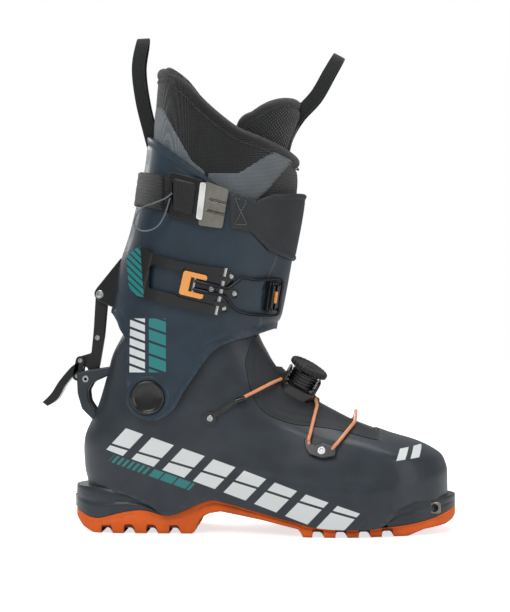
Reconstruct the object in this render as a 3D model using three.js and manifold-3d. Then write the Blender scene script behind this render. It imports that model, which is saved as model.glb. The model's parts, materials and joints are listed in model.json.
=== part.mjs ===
// An alpine touring ski boot for the right foot, as an assembly of its separate pieces.
// Millimetres, +Z up, +X towards the toe, +Y towards the inner (medial) side of the foot.
// While it is modelled, x runs from the heel end of the sole, y from the boot's middle plane and z from
// the ground. The last lines centre the finished boot over the middle of its own footprint.
import * as THREE from 'three';
import { LoftGeometry } from 'three/addons/geometries/LoftGeometry.js';
import { mergeVertices } from 'three/addons/utils/BufferGeometryUtils.js';
import Module from 'manifold-3d';

const wasm = await Module();
wasm.setup();

// ---------------------------------------------------------------- driving dimensions

const SOLE_LENGTH = 297; // heel end to toe end, the size a binding is set to
const CUFF_HEIGHT = 307; // ground to the back edge of the cuff
const LINER_RISE = 50; // how far the liner's back stands above the cuff

const PIVOT_X = 61; // ankle pivot
const PIVOT_Z = 104.7;
const THROAT_REACH = 88; // from the pivot to the front of the shell at the top of the instep

const HEEL_HALF_WIDTH = 38; // shell, outside, half of each width
const BALL_HALF_WIDTH = 54;
const ANKLE_HALF_WIDTH = 41;
const SOLE_HEEL_HALF_WIDTH = 36; // the sole and the welts that a binding holds
const SOLE_BALL_HALF_WIDTH = 50;
const SOLE_TOE_HALF_WIDTH = 38;
const CALF_HALF_WIDTH = 56; // cuff, outside, at its top

const SHELL_WALL = 3.6;
const CUFF_WALL = 3.2;
const FLAP_WALL = 2.4;
const TONGUE_WALL = 2.6;
const LINER_WALL = 7; // round the shin
const LINER_EASE = 1; // round the liner, which is soft
const FOOT_EASE = 1.6; // round the liner's foot, under the sloping instep
const TONGUE_EASE = 0.4; // more room between the instep's tongue and its flap
const LINER_FOOT_WALL = 4; // round the foot
const LINER_TONGUE_WALL = 8;
const FOOTBOARD = 5;
const HEEL_TREAD = 95; // lengths of the two treads and of the toe end that curls up
const FOREFOOT_TREAD = 80;
const TOE_SPRING = 38.5;
const HEEL_LEDGE = 35; // heights of the welts' upper faces
const TOE_LEDGE = 28.3;
const LUG_DEPTH = 4.4;
const LUG_GAP = 8;
const LUG_PITCH = 17.5;
const LUG_ROWS = 4; // gaps in each tread

const JOIN_GAP = 0.35; // between pieces that touch
const SLIDE_GAP = 2; // between the cuff and the shell it turns over
const SCREW_RADIUS = 2.6;
const PIVOT_RADIUS = 6;
const PIVOT_CAP_RADIUS = 13;
const LACE_RADIUS = 1.4;
const WEBBING = 1.8; // thickness of the strap webbing
const LOOP_WEBBING = 1.5;
const LOOP_WIDTH = 10;
const BAND = 2.4; // thickness of the rubber front band
const BAIL_RADIUS = 1.25;
const LEVER_PLATE = 2.6;
const CORD_RADIUS = 0.6;
const DIAL_RADIUS = 15.5;
const BAR_HALF = 4; // half-thickness of the walk bar, across the boot
const LEVER_HALF = 5.8; // half-thickness of the walk lever over the bar
const ARM = 4.5; // thickness of each arm of the heel bracket

// ---------------------------------------------------------------- colours

const finish = (color, roughness, metalness = 0) =>
  new THREE.MeshStandardMaterial({ color, roughness, metalness });
const FINISH = {
  shell: finish('#39424c', 0.45),
  cuff: finish('#2b3f50', 0.45),
  rubber: finish('#ee6a1a', 0.7),
  black: finish('#16181a', 0.4),
  soft: finish('#3c3e42', 0.65),
  foam: finish('#1b1e20', 0.9),
  grey: finish('#7d858b', 0.8),
  webbing: finish('#20241f', 0.9),
  orange: finish('#f0641e', 0.4),
  lace: finish('#d9572a', 0.5),
  steel: finish('#c9ccd0', 0.3, 1),
  titanium: finish('#a9a89e', 0.4, 1),
  darkMetal: finish('#25272a', 0.35, 0.8),
  white: finish('#f2f2f0', 0.5),
};

// ---------------------------------------------------------------- solids

/** A closed geometry as a manifold-3d solid. */
function solid(geometry) {
  const source = geometry.index ? geometry.toNonIndexed() : geometry.clone();
  const bare = new THREE.BufferGeometry()
    .setAttribute('position', source.getAttribute('position'));
  const merged = mergeVertices(bare, 1e-4);
  const corners = Array.from(merged.index.array);
  const triVerts = [];
  for (let i = 0; i < corners.length; i += 3) {
    const [a, b, c] = corners.slice(i, i + 3);
    if (a !== b && b !== c && c !== a) triVerts.push(a, b, c);
  }
  const made = new wasm.Manifold(new wasm.Mesh({
    numProp: 3,
    vertProperties: merged.attributes.position.array,
    triVerts: new Uint32Array(triVerts),
  }));
  return made;
}

/** A manifold-3d solid as a geometry. */
function geometryOf(made) {
  const { vertProperties, triVerts, numProp } = made.getMesh();
  const positions = new Float32Array((vertProperties.length / numProp) * 3);
  for (let i = 0; i < positions.length / 3; i++) {
    positions.set(vertProperties.subarray(i * numProp, i * numProp + 3), i * 3);
  }
  return new THREE.BufferGeometry()
    .setAttribute('position', new THREE.BufferAttribute(positions, 3))
    .setIndex(new THREE.BufferAttribute(new Uint32Array(triVerts), 1));
}

const join = (first, ...others) => others.reduce((sum, next) => sum.add(next), first);
const cut = (first, ...others) => others.reduce((rest, next) => rest.subtract(next), first);
const common = (first, ...others) => others.reduce((rest, next) => rest.intersect(next), first);

/** The largest separate body of a solid, which drops the slivers that a cut can leave. */
function largest(made) {
  return made.decompose().sort((a, b) => b.volume() - a.volume())[0];
}

// ---------------------------------------------------------------- curves and outlines

/** A smooth function through [at, value] points: cubic pieces with the mean slope at each point. */
function through(points) {
  const slope = points.map((p, i) => {
    const before = points[Math.max(0, i - 1)];
    const after = points[Math.min(points.length - 1, i + 1)];
    return (after[1] - before[1]) / (after[0] - before[0]);
  });
  return (at) => {
    const last = points.length - 1;
    if (at <= points[0][0]) return points[0][1];
    if (at >= points[last][0]) return points[last][1];
    const i = points.findIndex((p) => p[0] > at) - 1;
    const span = points[i + 1][0] - points[i][0];
    const t = (at - points[i][0]) / span;
    const [t2, t3] = [t * t, t * t * t];
    return (2 * t3 - 3 * t2 + 1) * points[i][1] + (t3 - 2 * t2 + t) * span * slope[i]
      + (3 * t2 - 2 * t3) * points[i + 1][1] + (t3 - t2) * span * slope[i + 1];
  };
}

/** 0 at the very end of an outline, rising round a quarter of an ellipse to 1 at the cap's length. */
const roundEnd = (share) => Math.sqrt(1 - (1 - THREE.MathUtils.clamp(share, 0, 1)) ** 2);

const heights = (low, high, steps) =>
  Array.from({ length: steps + 1 }, (_, i) => THREE.MathUtils.lerp(low, high, i / steps));

/**
 * A tube with a foot-like horizontal outline that changes with height.
 * back(z), front(z): ends of the outline; half(x, z): its half-width; backCap(z), frontCap(z): the
 * lengths of its rounded ends; bend(x): how far its middle swings to the inner side.
 */
class Body {
  constructor({ back, front, half, backCap, frontCap, bend = () => 0, columns = 20 }) {
    Object.assign(this, { back, front, half, backCap, frontCap, bend, columns });
  }

  /** Half-width of the outline at x, with the surface moved out by grow. */
  halfAt(x, z, grow = 0) {
    const back = this.back(z) - grow;
    const front = this.front(z) + grow;
    return (this.half(x, z) + grow)
      * roundEnd((x - back) / (this.backCap(z) + grow))
      * roundEnd((front - x) / (this.frontCap(z) + grow));
  }

  /** The outline at height z as a ring of points, from the back round the outer side. */
  ring(z, grow = 0) {
    const back = this.back(z) - grow;
    const front = this.front(z) + grow;
    const points = [];
    for (let j = 0; j < 2 * this.columns; j++) {
      const turn = (Math.PI * j) / this.columns;
      const x = back + (front - back) * (1 - Math.cos(turn)) / 2;
      const side = j <= this.columns ? -1 : 1;
      points.push(new THREE.Vector3(x, this.bend(x) + side * this.halfAt(x, z, grow), z));
    }
    return points;
  }

  /** The solid inside the surface between the first and last heights. */
  solid(heights, grow = 0) {
    const rings = heights.map((z) => this.ring(z, grow));
    return solid(new LoftGeometry(rings, { capStart: true, capEnd: true }));
  }

  /** The wall between two offsets of the surface. */
  wall(heights, inner, outer) {
    const rings = [...heights.map((z) => this.ring(z, outer)),
      ...heights.map((z) => this.ring(z, inner)).reverse()];
    return solid(new LoftGeometry([...rings, rings[0]]));
  }

  /** A point on the surface on the outer (side -1) or inner (side 1) side, moved out by grow. */
  at(x, z, grow = 0, side = -1) {
    return new THREE.Vector3(x, this.bend(x) + side * this.halfAt(x, z, grow), z);
  }

  /**
   * A frame on the surface: its X runs forwards along it, its Z up it and its Y into the boot on the
   * outer side, so that a plate drawn in its XZ plane lies on the surface.
   */
  frame(x, z, grow = 0, side = -1) {
    const step = 1.5;
    const forward = this.at(x + step, z, grow, side).sub(this.at(x - step, z, grow, side)).normalize();
    const up = this.at(x, z + step, grow, side).sub(this.at(x, z - step, grow, side));
    up.addScaledVector(forward, -up.dot(forward)).normalize();
    const into = new THREE.Vector3().crossVectors(up, forward);
    return new THREE.Matrix4().makeBasis(forward, into, up).setPosition(this.at(x, z, grow, side));
  }
}

/** A side-view outline of [x, z] points carried across the boot from y = low to y = high. */
function sideBlock(points, low, high) {
  const shape = new THREE.Shape(points.map(([x, z]) => new THREE.Vector2(x, z)));
  const made = new THREE.ExtrudeGeometry(shape, { depth: high - low, bevelEnabled: false });
  return solid(made.rotateX(Math.PI / 2).translate(0, high, 0));
}

/** Points along a smooth curve through [x, z] points. */
const smooth = (points, divisions) =>
  new THREE.SplineCurve(points.map(([x, z]) => new THREE.Vector2(x, z)))
    .getPoints(divisions).map((p) => [p.x, p.y]);

/** A round rod along Y, or a disc, centred at [x, z], from y = low to y = high. */
function rodY(radius, x, z, low, high, sides = 20) {
  const made = new THREE.CylinderGeometry(radius, radius, high - low, sides);
  return solid(made.translate(x, (low + high) / 2, z));
}

/** A box between two corners. */
function block([x0, y0, z0], [x1, y1, z1]) {
  const made = new THREE.BoxGeometry(x1 - x0, y1 - y0, z1 - z0);
  return solid(made.translate((x0 + x1) / 2, (y0 + y1) / 2, (z0 + z1) / 2));
}

/** A plate drawn as [along, up] points, from low to high outwards, set on a frame of a surface. */
function plate(points, low, high, frame) {
  const shape = new THREE.Shape(points.map(([x, z]) => new THREE.Vector2(x, z)));
  const made = new THREE.ExtrudeGeometry(shape, { depth: high - low, bevelEnabled: false });
  return solid(made.rotateX(Math.PI / 2).translate(0, -low, 0).applyMatrix4(frame));
}

/** A round rod across a surface frame, from low to high outwards. */
function rodAlong(frame, radius, low, high, sides = 20) {
  const made = new THREE.CylinderGeometry(radius, radius, high - low, sides);
  return solid(made.translate(0, -(low + high) / 2, 0).applyMatrix4(frame));
}

/** A round wire or tube along a curve through points, or with straight runs between them. */
function wire(points, radius, { sides = 6, steps = 30, straight = false } = {}) {
  const path = new THREE.CurvePath();
  if (straight) points.slice(1).forEach((p, i) => path.add(new THREE.LineCurve3(points[i], p)));
  const curve = straight ? path : new THREE.CatmullRomCurve3(points, false, 'centripetal');
  const section = new THREE.Shape(Array.from({ length: sides }, (_, i) => {
    const turn = (2 * Math.PI * i) / sides;
    return new THREE.Vector2(radius * Math.cos(turn), radius * Math.sin(turn));
  }));
  return solid(new THREE.ExtrudeGeometry(section, { steps, extrudePath: curve, bevelEnabled: false }));
}

/** A turned piece: [radius, along] points on its profile, its axis along the frame's Y. */
function turned(profile, frame, sides = 16) {
  const made = new THREE.LatheGeometry(profile.map(([r, a]) => new THREE.Vector2(r, a)), sides);
  return solid(made.applyMatrix4(frame));
}

/** Frame of an axis along Y at [x, z] whose +Y points away from the boot's middle on that side. */
function outwards(x, y, z, side) {
  const turn = side < 0 ? Math.PI : 0;
  return new THREE.Matrix4().makeRotationX(turn).setPosition(x, y, z);
}

/** A flat ribbon of webbing along a curve, its width across the given directions. */
function ribbon(points, across, width, thickness, steps) {
  const path = new THREE.CatmullRomCurve3(points, false, 'centripetal');
  const turn = new THREE.CatmullRomCurve3(across, false, 'centripetal');
  const sections = Array.from({ length: steps + 1 }, (_, i) => {
    const at = path.getPoint(i / steps);
    const run = path.getTangent(i / steps);
    const leaning = turn.getPoint(i / steps);
    const wide = leaning.addScaledVector(run, -leaning.dot(run)).normalize();
    const thick = new THREE.Vector3().crossVectors(run, wide);
    return [[-1, -1], [1, -1], [1, 1], [-1, 1]].map(([w, t]) => at.clone()
      .addScaledVector(wide, (w * width) / 2).addScaledVector(thick, (t * thickness) / 2));
  });
  return solid(new LoftGeometry(sections, { capStart: true, capEnd: true }));
}

// ---------------------------------------------------------------- the boot's surfaces

const TOE_X = SOLE_LENGTH - 7; // front of the toe box, behind the toe welt
const THROAT_X = PIVOT_X + THROAT_REACH;
const SHELL_TOP = PIVOT_Z + 50;
const HEEL_BACK = 6.5;
const alongInstep = (share) => THREE.MathUtils.lerp(THROAT_X, TOE_X, share);

const ballWidth = through([[0, HEEL_HALF_WIDTH - 1], [30, HEEL_HALF_WIDTH], [90, HEEL_HALF_WIDTH + 1],
  [SOLE_LENGTH * 0.47, HEEL_HALF_WIDTH + 5], [SOLE_LENGTH * 0.6, BALL_HALF_WIDTH - 2],
  [SOLE_LENGTH * 0.7, BALL_HALF_WIDTH], [SOLE_LENGTH * 0.8, BALL_HALF_WIDTH - 2],
  [SOLE_LENGTH, BALL_HALF_WIDTH - 8]]);

/** How far the middle of the foot swings to the inner side. */
const footBend = through([[0, 0], [SOLE_LENGTH * 0.3, 0], [SOLE_LENGTH * 0.55, -2],
  [SOLE_LENGTH * 0.75, -2], [SOLE_LENGTH * 0.9, 2], [SOLE_LENGTH, 3]]);

const shellBody = new Body({
  back: through([[0, 9], [36, 9], [48, HEEL_BACK], [72, HEEL_BACK], [PIVOT_Z - 12, 15.5], [PIVOT_Z - 2, 19],
    [PIVOT_Z + 17, 24.5], [PIVOT_Z + 33, 29], [SHELL_TOP, 38]]),
  front: through([[0, TOE_X], [20, TOE_X], [34, TOE_X - 0.2], [50, TOE_X - 0.7], [58, TOE_X - 3],
    [64, TOE_X - 11], [70, alongInstep(0.83)], [76, alongInstep(0.69)], [82, alongInstep(0.58)],
    [89, alongInstep(0.47)], [104, alongInstep(0.28)], [123, alongInstep(0.115)],
    [144, alongInstep(0.02)], [SHELL_TOP, THROAT_X - 2]]),
  half: (x, z) => THREE.MathUtils.lerp(ballWidth(x), ANKLE_HALF_WIDTH,
    THREE.MathUtils.smoothstep(z, 45, PIVOT_Z - 5)),
  backCap: () => HEEL_HALF_WIDTH,
  frontCap: through([[0, 42], [55, 44], [70, 60], [85, 72], [105, 74], [125, 60], [SHELL_TOP, 52]]),
  bend: footBend,
  columns: 13,
});
const shellRings = heights(2, SHELL_TOP, 17); // shared by every layer of the lower boot, so they nest
const shellRingsPast = [...shellRings, SHELL_TOP + 4];

const soleBody = new Body({
  back: () => 0,
  front: () => SOLE_LENGTH,
  half: through([[0, SOLE_HEEL_HALF_WIDTH], [60, SOLE_HEEL_HALF_WIDTH],
    [SOLE_LENGTH * 0.4, SOLE_HEEL_HALF_WIDTH], [SOLE_LENGTH * 0.6, SOLE_BALL_HALF_WIDTH - 1],
    [SOLE_LENGTH * 0.72, SOLE_BALL_HALF_WIDTH], [SOLE_LENGTH * 0.86, SOLE_TOE_HALF_WIDTH + 3],
    [SOLE_LENGTH, SOLE_TOE_HALF_WIDTH]]),
  backCap: () => SOLE_HEEL_HALF_WIDTH,
  frontCap: () => SOLE_TOE_HALF_WIDTH,
  bend: footBend,
  columns: 16,
});

const upCuff = (share) => THREE.MathUtils.lerp(PIVOT_Z, CUFF_HEIGHT, share);
const CUFF_INSIDE = ANKLE_HALF_WIDTH + SLIDE_GAP; // half-width inside the cuff at the ankle
const cuffBody = new Body({
  back: through([[PIVOT_Z - 25, 20], [upCuff(0.08), 21], [upCuff(0.26), 26], [upCuff(0.45), 32],
    [upCuff(0.53), 35.5], [upCuff(0.62), 41.5], [upCuff(0.76), 48.5], [upCuff(0.9), 54.5],
    [upCuff(1.2), 60]]),
  front: through([[PIVOT_Z - 25, THROAT_X + 5], [upCuff(0.26), THROAT_X + 8],
    [upCuff(0.32), THROAT_X + 12], [upCuff(0.53), THROAT_X + 20], [upCuff(0.76), THROAT_X + 28],
    [upCuff(1.2), THROAT_X + 33]]),
  half: (x, z) => through([[PIVOT_Z, CUFF_INSIDE + CUFF_WALL], [upCuff(0.3), CUFF_INSIDE + CUFF_WALL + 1],
    [upCuff(0.9), CALF_HALF_WIDTH], [upCuff(1.2), CALF_HALF_WIDTH + 1]])(z),
  backCap: through([[PIVOT_Z, 33], [upCuff(0.5), 44]]),
  frontCap: () => 56,
  columns: 12,
});
// shared by every layer of the cuff
const cuffRings = heights(PIVOT_Z - 26, CUFF_HEIGHT + LINER_RISE + 6, 21);

// ---------------------------------------------------------------- side-view outlines

const FOREFOOT_X = SOLE_LENGTH - TOE_SPRING - FOREFOOT_TREAD;
const arch = (share) => THREE.MathUtils.lerp(HEEL_TREAD, FOREFOOT_X, share);
const FAR = 120; // beyond either side of the boot

/** The line between the rubber and the shell, from the heel to the toe, raised by lift. */
const soleLine = (lift) => smooth([[-2, 17], [6, 15], [14, 12], [23, 11.8], [39, 16], [56, 18], [76, 14],
  [arch(0), 21.5], [arch(0.16), 26], [arch(0.31), 24.4], [arch(0.58), 18.5], [arch(0.95), 11],
  [FOREFOOT_X + 12, 7.6], [FOREFOOT_X + 37, 6.4], [FOREFOOT_X + 67, 7.4], [FOREFOOT_X + 88, 10.2],
  [FOREFOOT_X + 103, 14.2], [SOLE_LENGTH + 2, 21]], 60).map(([x, z]) => [x, z + lift]);

const soleBottom = [[-2, 15], [1, 10.5], [8, 4], [17, 0], [HEEL_TREAD, 0], [arch(0.07), 12],
  [arch(0.14), 15.6], [arch(0.25), 17.2], [arch(0.66), 11.4], [arch(0.98), 5.6], [FOREFOOT_X, 0],
  [FOREFOOT_X + FOREFOOT_TREAD, 0], [FOREFOOT_X + FOREFOOT_TREAD + 5, 2], [SOLE_LENGTH - 26, 4.8],
  [SOLE_LENGTH - 9, 7.2], [SOLE_LENGTH - 3, 10], [SOLE_LENGTH + 2, 15]];

/** Above this line the sides of the boot are shell; below it they are the sole's welts. */
const weltLine = (lift) => [[-5, HEEL_LEDGE + lift], [22, HEEL_LEDGE + lift], [44, 31 + lift],
  [62, 23 + lift], [76, 12 + lift], [FOREFOOT_X + 50, 6 + lift], [SOLE_LENGTH - 55, 12 + lift],
  [SOLE_LENGTH - 46, 24 + lift],
  [SOLE_LENGTH - 34, TOE_LEDGE + lift], [SOLE_LENGTH + 5, TOE_LEDGE + lift]];

/** The floor inside the shell, raised by lift. */
const floorLine = (lift) => [[-5, 31 + lift], [arch(0.2), 31 + lift], [arch(0.6), 24.5 + lift],
  [FOREFOOT_X, 18 + lift], [FOREFOOT_X + 62, 18 + lift], [SOLE_LENGTH - 30, 29 + lift],
  [SOLE_LENGTH + 5, 29 + lift]];

const above = (line, top) => sideBlock([...line, [line.at(-1)[0], top], [line[0][0], top]], -FAR, FAR);

/** The instep that the flap covers, from its seam up, with its sides and its toe end let out by ease. */
const flapOutline = (ease) => [[THROAT_X - 7.5 - ease, SHELL_TOP + 30],
  ...smooth([[THROAT_X - 7.5 - ease, SHELL_TOP], [THROAT_X - 14 - ease, PIVOT_Z + 30],
    [THROAT_X - 13.4 - ease, PIVOT_Z + 20], [THROAT_X - 9.8 - ease, PIVOT_Z + 5 - ease],
    [THROAT_X - 1.7, PIVOT_Z - 9 - ease], [alongInstep(0.08), 88 - ease], [alongInstep(0.19), 84 - ease],
    [alongInstep(0.32), 82 - ease], [alongInstep(0.43), 79 - ease], [alongInstep(0.56), 74 - ease],
    [alongInstep(0.63) + ease, 72 - ease]], 24),
  [alongInstep(0.65) + ease, 100], [alongInstep(0.65) + ease, SHELL_TOP + 30]];

// ---------------------------------------------------------------- the boot, piece by piece

const boot = new THREE.Group();

/** Adds a solid to the boot as a named mesh. */
function piece(name, made, look) {
  const mesh = new THREE.Mesh(geometryOf(made), look);
  mesh.name = name;
  boot.add(mesh);
}

// ---- sole and lower shell

/** One gap between lugs, open below and to both sides, with a raked front wall. */
const lugGap = (x) => sideBlock([[x, -1], [x, LUG_DEPTH - 1], [x + 1, LUG_DEPTH],
  [x + LUG_GAP - 2.5, LUG_DEPTH], [x + LUG_GAP - 1, LUG_DEPTH - 1], [x + LUG_GAP + 1, -1]], -FAR, FAR);

function outsole() {
  const slab = sideBlock([...soleBottom, ...soleLine(-JOIN_GAP).reverse()], -FAR, FAR);
  const gaps = [];
  for (let row = 0; row < LUG_ROWS; row++) {
    gaps.push(lugGap(24 + row * LUG_PITCH), lugGap(FOREFOOT_X + 8 + row * LUG_PITCH));
  }
  return cut(common(soleBody.solid([-1, 40]), slab), ...gaps);
}

const FITTING = { x: SOLE_LENGTH - 18, z: 20.5, long: 10, tall: 9, half: 31.5 };
const HEEL_FITTING = { z: 23.5, tall: 12, half: 9, deep: 3.4, inset: 0.5 };

/** The metal bar across the toe, let out by ease. */
function toeBar(ease) {
  const middle = new THREE.Vector3(FITTING.x, footBend(FITTING.x), FITTING.z);
  const reach = new THREE.Vector3(FITTING.long / 2 + ease, FITTING.half + ease, FITTING.tall / 2 + ease);
  return block(middle.clone().sub(reach).toArray(), middle.clone().add(reach).toArray());
}

/** The metal plate let into the heel from a given x, let out by ease. */
function heelPlate(ease, from) {
  const { z, tall, half, deep, inset } = HEEL_FITTING;
  return block([from, -half - ease, z - tall / 2 - ease],
    [inset + deep + ease, half + ease, z + tall / 2 + ease]);
}

/** A round bar along X. */
const rodX = (radius, low, high, y, z, sides = 16) => {
  const made = new THREE.CylinderGeometry(radius, radius, high - low, sides);
  return solid(made.rotateZ(Math.PI / 2).translate((low + high) / 2, y, z));
};

const LOCK = new THREE.Vector2(8, PIVOT_Z + 12.6); // the pin that the walk bar locks onto
const SLOT_HALF = LEVER_HALF + 0.6; // half of the slot between the bracket's arms

/** One arm of the heel bracket on side -1 or 1: a crooked fin from the lock pin to the shell. */
function bracketArm(side) {
  const outline = [[3, LOCK.y + 4.5], [LOCK.x + 4, LOCK.y + 6.5], [30, LOCK.y + 9.5], [34, LOCK.y + 2],
    [18, LOCK.y - 1.5], [15.5, LOCK.y - 7], [24, LOCK.y - 32], [12, LOCK.y - 34], [4.5, LOCK.y - 24],
    [1.5, LOCK.y - 9]];
  const [near, far] = [SLOT_HALF, SLOT_HALF + ARM];
  return side < 0 ? sideBlock(outline, -far, -near) : sideBlock(outline, near, far);
}

function lowerShell() {
  const welt = cut(common(soleBody.solid([1, 40]), above(soleLine(0), 60)), above(weltLine(0), 90));
  const sides = common(shellBody.solid(shellRings), above(soleLine(0), 200), above(weltLine(-1.5), 200));
  const inside = common(shellBody.solid(shellRingsPast, -SHELL_WALL), above(floorLine(0), 200));
  const bracket = cut(join(bracketArm(-1), bracketArm(1)), shellBody.solid(shellRingsPast, -1.5));
  const pins = rodY(3 + JOIN_GAP, LOCK.x, LOCK.y, -SLOT_HALF - ARM - 1, SLOT_HALF + ARM + 1);
  const pivots = rodY(PIVOT_RADIUS + JOIN_GAP, PIVOT_X, PIVOT_Z, -FAR, FAR);
  const heelHole = rodX(SCREW_RADIUS + JOIN_GAP, 0, 9, 0, HEEL_FITTING.z);
  const opening = sideBlock(flapOutline(0), -FAR, FAR);
  return largest(cut(join(welt, sides, bracket), inside, opening, pins, pivots, toeBar(JOIN_GAP),
    heelPlate(JOIN_GAP, -2), heelHole));
}

piece('outsole', outsole(), FINISH.rubber);
piece('lower_shell', lowerShell(), FINISH.shell);

// ---- inside the lower shell

const footRings = shellRings.slice(0, -1);
const footInside = SHELL_WALL + JOIN_GAP;
piece('footboard', cut(common(shellBody.solid(footRings, -footInside), above(floorLine(JOIN_GAP), 90)),
  above(floorLine(JOIN_GAP + FOOTBOARD), 100)), FINISH.black);

const tongueOutside = footInside + TONGUE_EASE;
const linerOutside = tongueOutside + TONGUE_WALL + FOOT_EASE;
const linerFloor = JOIN_GAP * 2 + FOOTBOARD;
piece('liner_foot', cut(
  common(shellBody.solid(footRings, -linerOutside), above(floorLine(linerFloor), 200)),
  common(shellBody.solid(shellRingsPast, -linerOutside - LINER_FOOT_WALL),
    above(floorLine(linerFloor + LINER_FOOT_WALL), 250)),
), FINISH.foam);

// ---- instep: inner tongue and outer flap

piece('instep_tongue', largest(common(
  shellBody.wall([...shellRings, SHELL_TOP + 3].slice(7), -tongueOutside - TONGUE_WALL, -tongueOutside),
  sideBlock(flapOutline(6), -FAR, FAR),
)), FINISH.black);

const ridgeSlot = (x0, x1, z0, z1, half) => block([x0, -half, z0], [x1, half, z1]);
piece('instep_flap', largest(cut(
  common(shellBody.wall(shellRings.slice(7), -0.4 - FLAP_WALL, -0.4),
    sideBlock(flapOutline(-JOIN_GAP), -FAR, FAR)),
  ridgeSlot(THROAT_X - 40, THROAT_X + 30, PIVOT_Z + 22, SHELL_TOP + 20, 13),
  ridgeSlot(alongInstep(0.34), alongInstep(0.6), 60, 120, 9),
)), FINISH.soft);

// ---- metal fittings for the binding

const socket = (side) => turned([[0, -1], [2.6, -1], [2.6, 0], [0.8, 3.6], [0, 3.6]], outwards(FITTING.x,
  footBend(FITTING.x) + side * FITTING.half, FITTING.z, -side));
piece('toe_fitting', cut(toeBar(0), socket(-1), socket(1)), FINISH.titanium);

const heelSlot = (y) => block([-1, y - 1.6, HEEL_FITTING.z - 3],
  [HEEL_FITTING.deep - 0.6, y + 1.6, HEEL_FITTING.z + 3]);
piece('heel_fitting', cut(heelPlate(0, HEEL_FITTING.inset), heelSlot(-5.8), heelSlot(5.8),
  rodX(SCREW_RADIUS + JOIN_GAP, -1, 9, 0, HEEL_FITTING.z)), FINISH.steel);
piece('heel_fitting_screw', cut(rodX(SCREW_RADIUS, 0.8, 8.6, 0, HEEL_FITTING.z),
  rodX(1.1, 0.4, 2.2, 0, HEEL_FITTING.z, 6)), FINISH.steel);

// ---- ankle pivots and lock pins

const CUFF_AT_PIVOT = ANKLE_HALF_WIDTH + SLIDE_GAP + CUFF_WALL; // outside of the cuff at the pivot
const PIVOT_SEAT = CUFF_AT_PIVOT + 0.8; // flat boss that the cap lies on
for (const [name, side] of [['outer', -1], ['inner', 1]]) {
  const inner = ANKLE_HALF_WIDTH - SHELL_WALL;
  piece(`pivot_bushing_${name}`, turned([[0, 0], [PIVOT_RADIUS, 0], [PIVOT_RADIUS, PIVOT_SEAT - inner],
    [0, PIVOT_SEAT - inner]], outwards(PIVOT_X, side * inner, PIVOT_Z, side)), FINISH.steel);
  const cap = PIVOT_CAP_RADIUS;
  piece(`pivot_cap_${name}`, turned([[0, 0], [cap, 0], [cap, 1.4], [cap - 1.4, 2.6], [cap - 3, 2.6],
    [cap - 5.5, 1.2], [0, 1.2]],
  outwards(PIVOT_X, side * (PIVOT_SEAT + JOIN_GAP), PIVOT_Z, side), 32), FINISH.black);
  piece(`lock_pin_${name}`, turned([[0, 0], [3, 0], [3, ARM - 0.4], [2, ARM + 0.5], [0, ARM + 0.5]],
    outwards(LOCK.x, side * SLOT_HALF, LOCK.y, side)), FINISH.steel);
}

// ---- lace hardware on the shell

/** A surface frame turned so that its Y points out of the boot. */
const facing = (frame) => frame.clone().multiply(new THREE.Matrix4().makeRotationX(Math.PI));

/** A round screw head with a six-sided socket, standing on an outward-facing frame. */
function screwHead(frame, radius, base, top) {
  const head = turned([[0, base], [radius, base], [radius, top - 0.6], [radius - 0.6, top], [0, top]], frame);
  const socketRadius = radius * 0.45;
  const drive = turned([[0, top - 1], [socketRadius, top - 1], [socketRadius, top + 1], [0, top + 1]],
    frame, 6);
  return cut(head, drive);
}

/** A straight-sided arm with round ends between two [along, up] points. */
function arm(from, to, radius) {
  const [a, b] = [new THREE.Vector2(...from), new THREE.Vector2(...to)];
  const along = b.clone().sub(a).angle();
  const round = (centre, start) => Array.from({ length: 9 }, (_, i) => {
    const turn = start + (Math.PI * i) / 8;
    return [centre.x + radius * Math.cos(turn), centre.y + radius * Math.sin(turn)];
  });
  return [...round(b, along - Math.PI / 2), ...round(a, along + Math.PI / 2)];
}

const aroundShell = shellBody.solid(shellRings, JOIN_GAP);

/** The same solid on the inner side of the foot, whose middle plane lies at the bend of x. */
const twin = (made, x) => made.mirror([0, 1, 0]).translate([0, 2 * footBend(x), 0]).subtract(aroundShell);

const ANCHOR = { x: PIVOT_X + 47.4, z: PIVOT_Z - 15.6, radius: 5.2, reach: [19, 12.5] };
const GUIDE = { x: alongInstep(0.305), z: 67 };
const GUIDE_OUTLINE = [[-11, 2], [-9.5, 7], [-6.5, 7.5], [-5, 3], [5, 1.5], [8, 4.5], [10.8, 3], [8, -4],
  [0, -6.5], [-8, -5]];
const PLATE_TOP = 2.4; // of the lace plates, over the shell
const LACE_LIFT = PLATE_TOP + JOIN_GAP + LACE_RADIUS;

const anchorSeat = shellBody.frame(ANCHOR.x, ANCHOR.z);
const guideSeat = shellBody.frame(GUIDE.x, GUIDE.z);
const anchorHole = rodAlong(anchorSeat, SCREW_RADIUS + JOIN_GAP, -1, 6);
const anchor = cut(join(
  plate(arm([0, 0], [0.01, 0], ANCHOR.radius), -1.5, PLATE_TOP, anchorSeat),
  plate(arm([0, 0], ANCHOR.reach, 1.9), -1.5, PLATE_TOP + 0.6, anchorSeat),
), aroundShell, anchorHole);
const guide = cut(plate(GUIDE_OUTLINE, -1.5, PLATE_TOP, guideSeat), aroundShell,
  rodAlong(guideSeat, SCREW_RADIUS + JOIN_GAP, -1, 6));
const anchorScrew = screwHead(facing(anchorSeat), SCREW_RADIUS, JOIN_GAP + 0.4, PLATE_TOP + 1);
const guideScrew = screwHead(facing(guideSeat), SCREW_RADIUS, JOIN_GAP + 0.4, PLATE_TOP + 1);
piece('lace_anchor_outer', anchor, FINISH.black);
piece('lace_anchor_screw_outer', anchorScrew, FINISH.steel);
piece('lace_guide_outer', guide, FINISH.black);
piece('lace_guide_screw_outer', guideScrew, FINISH.steel);
piece('lace_anchor_inner', twin(anchor, ANCHOR.x), FINISH.black);
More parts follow.
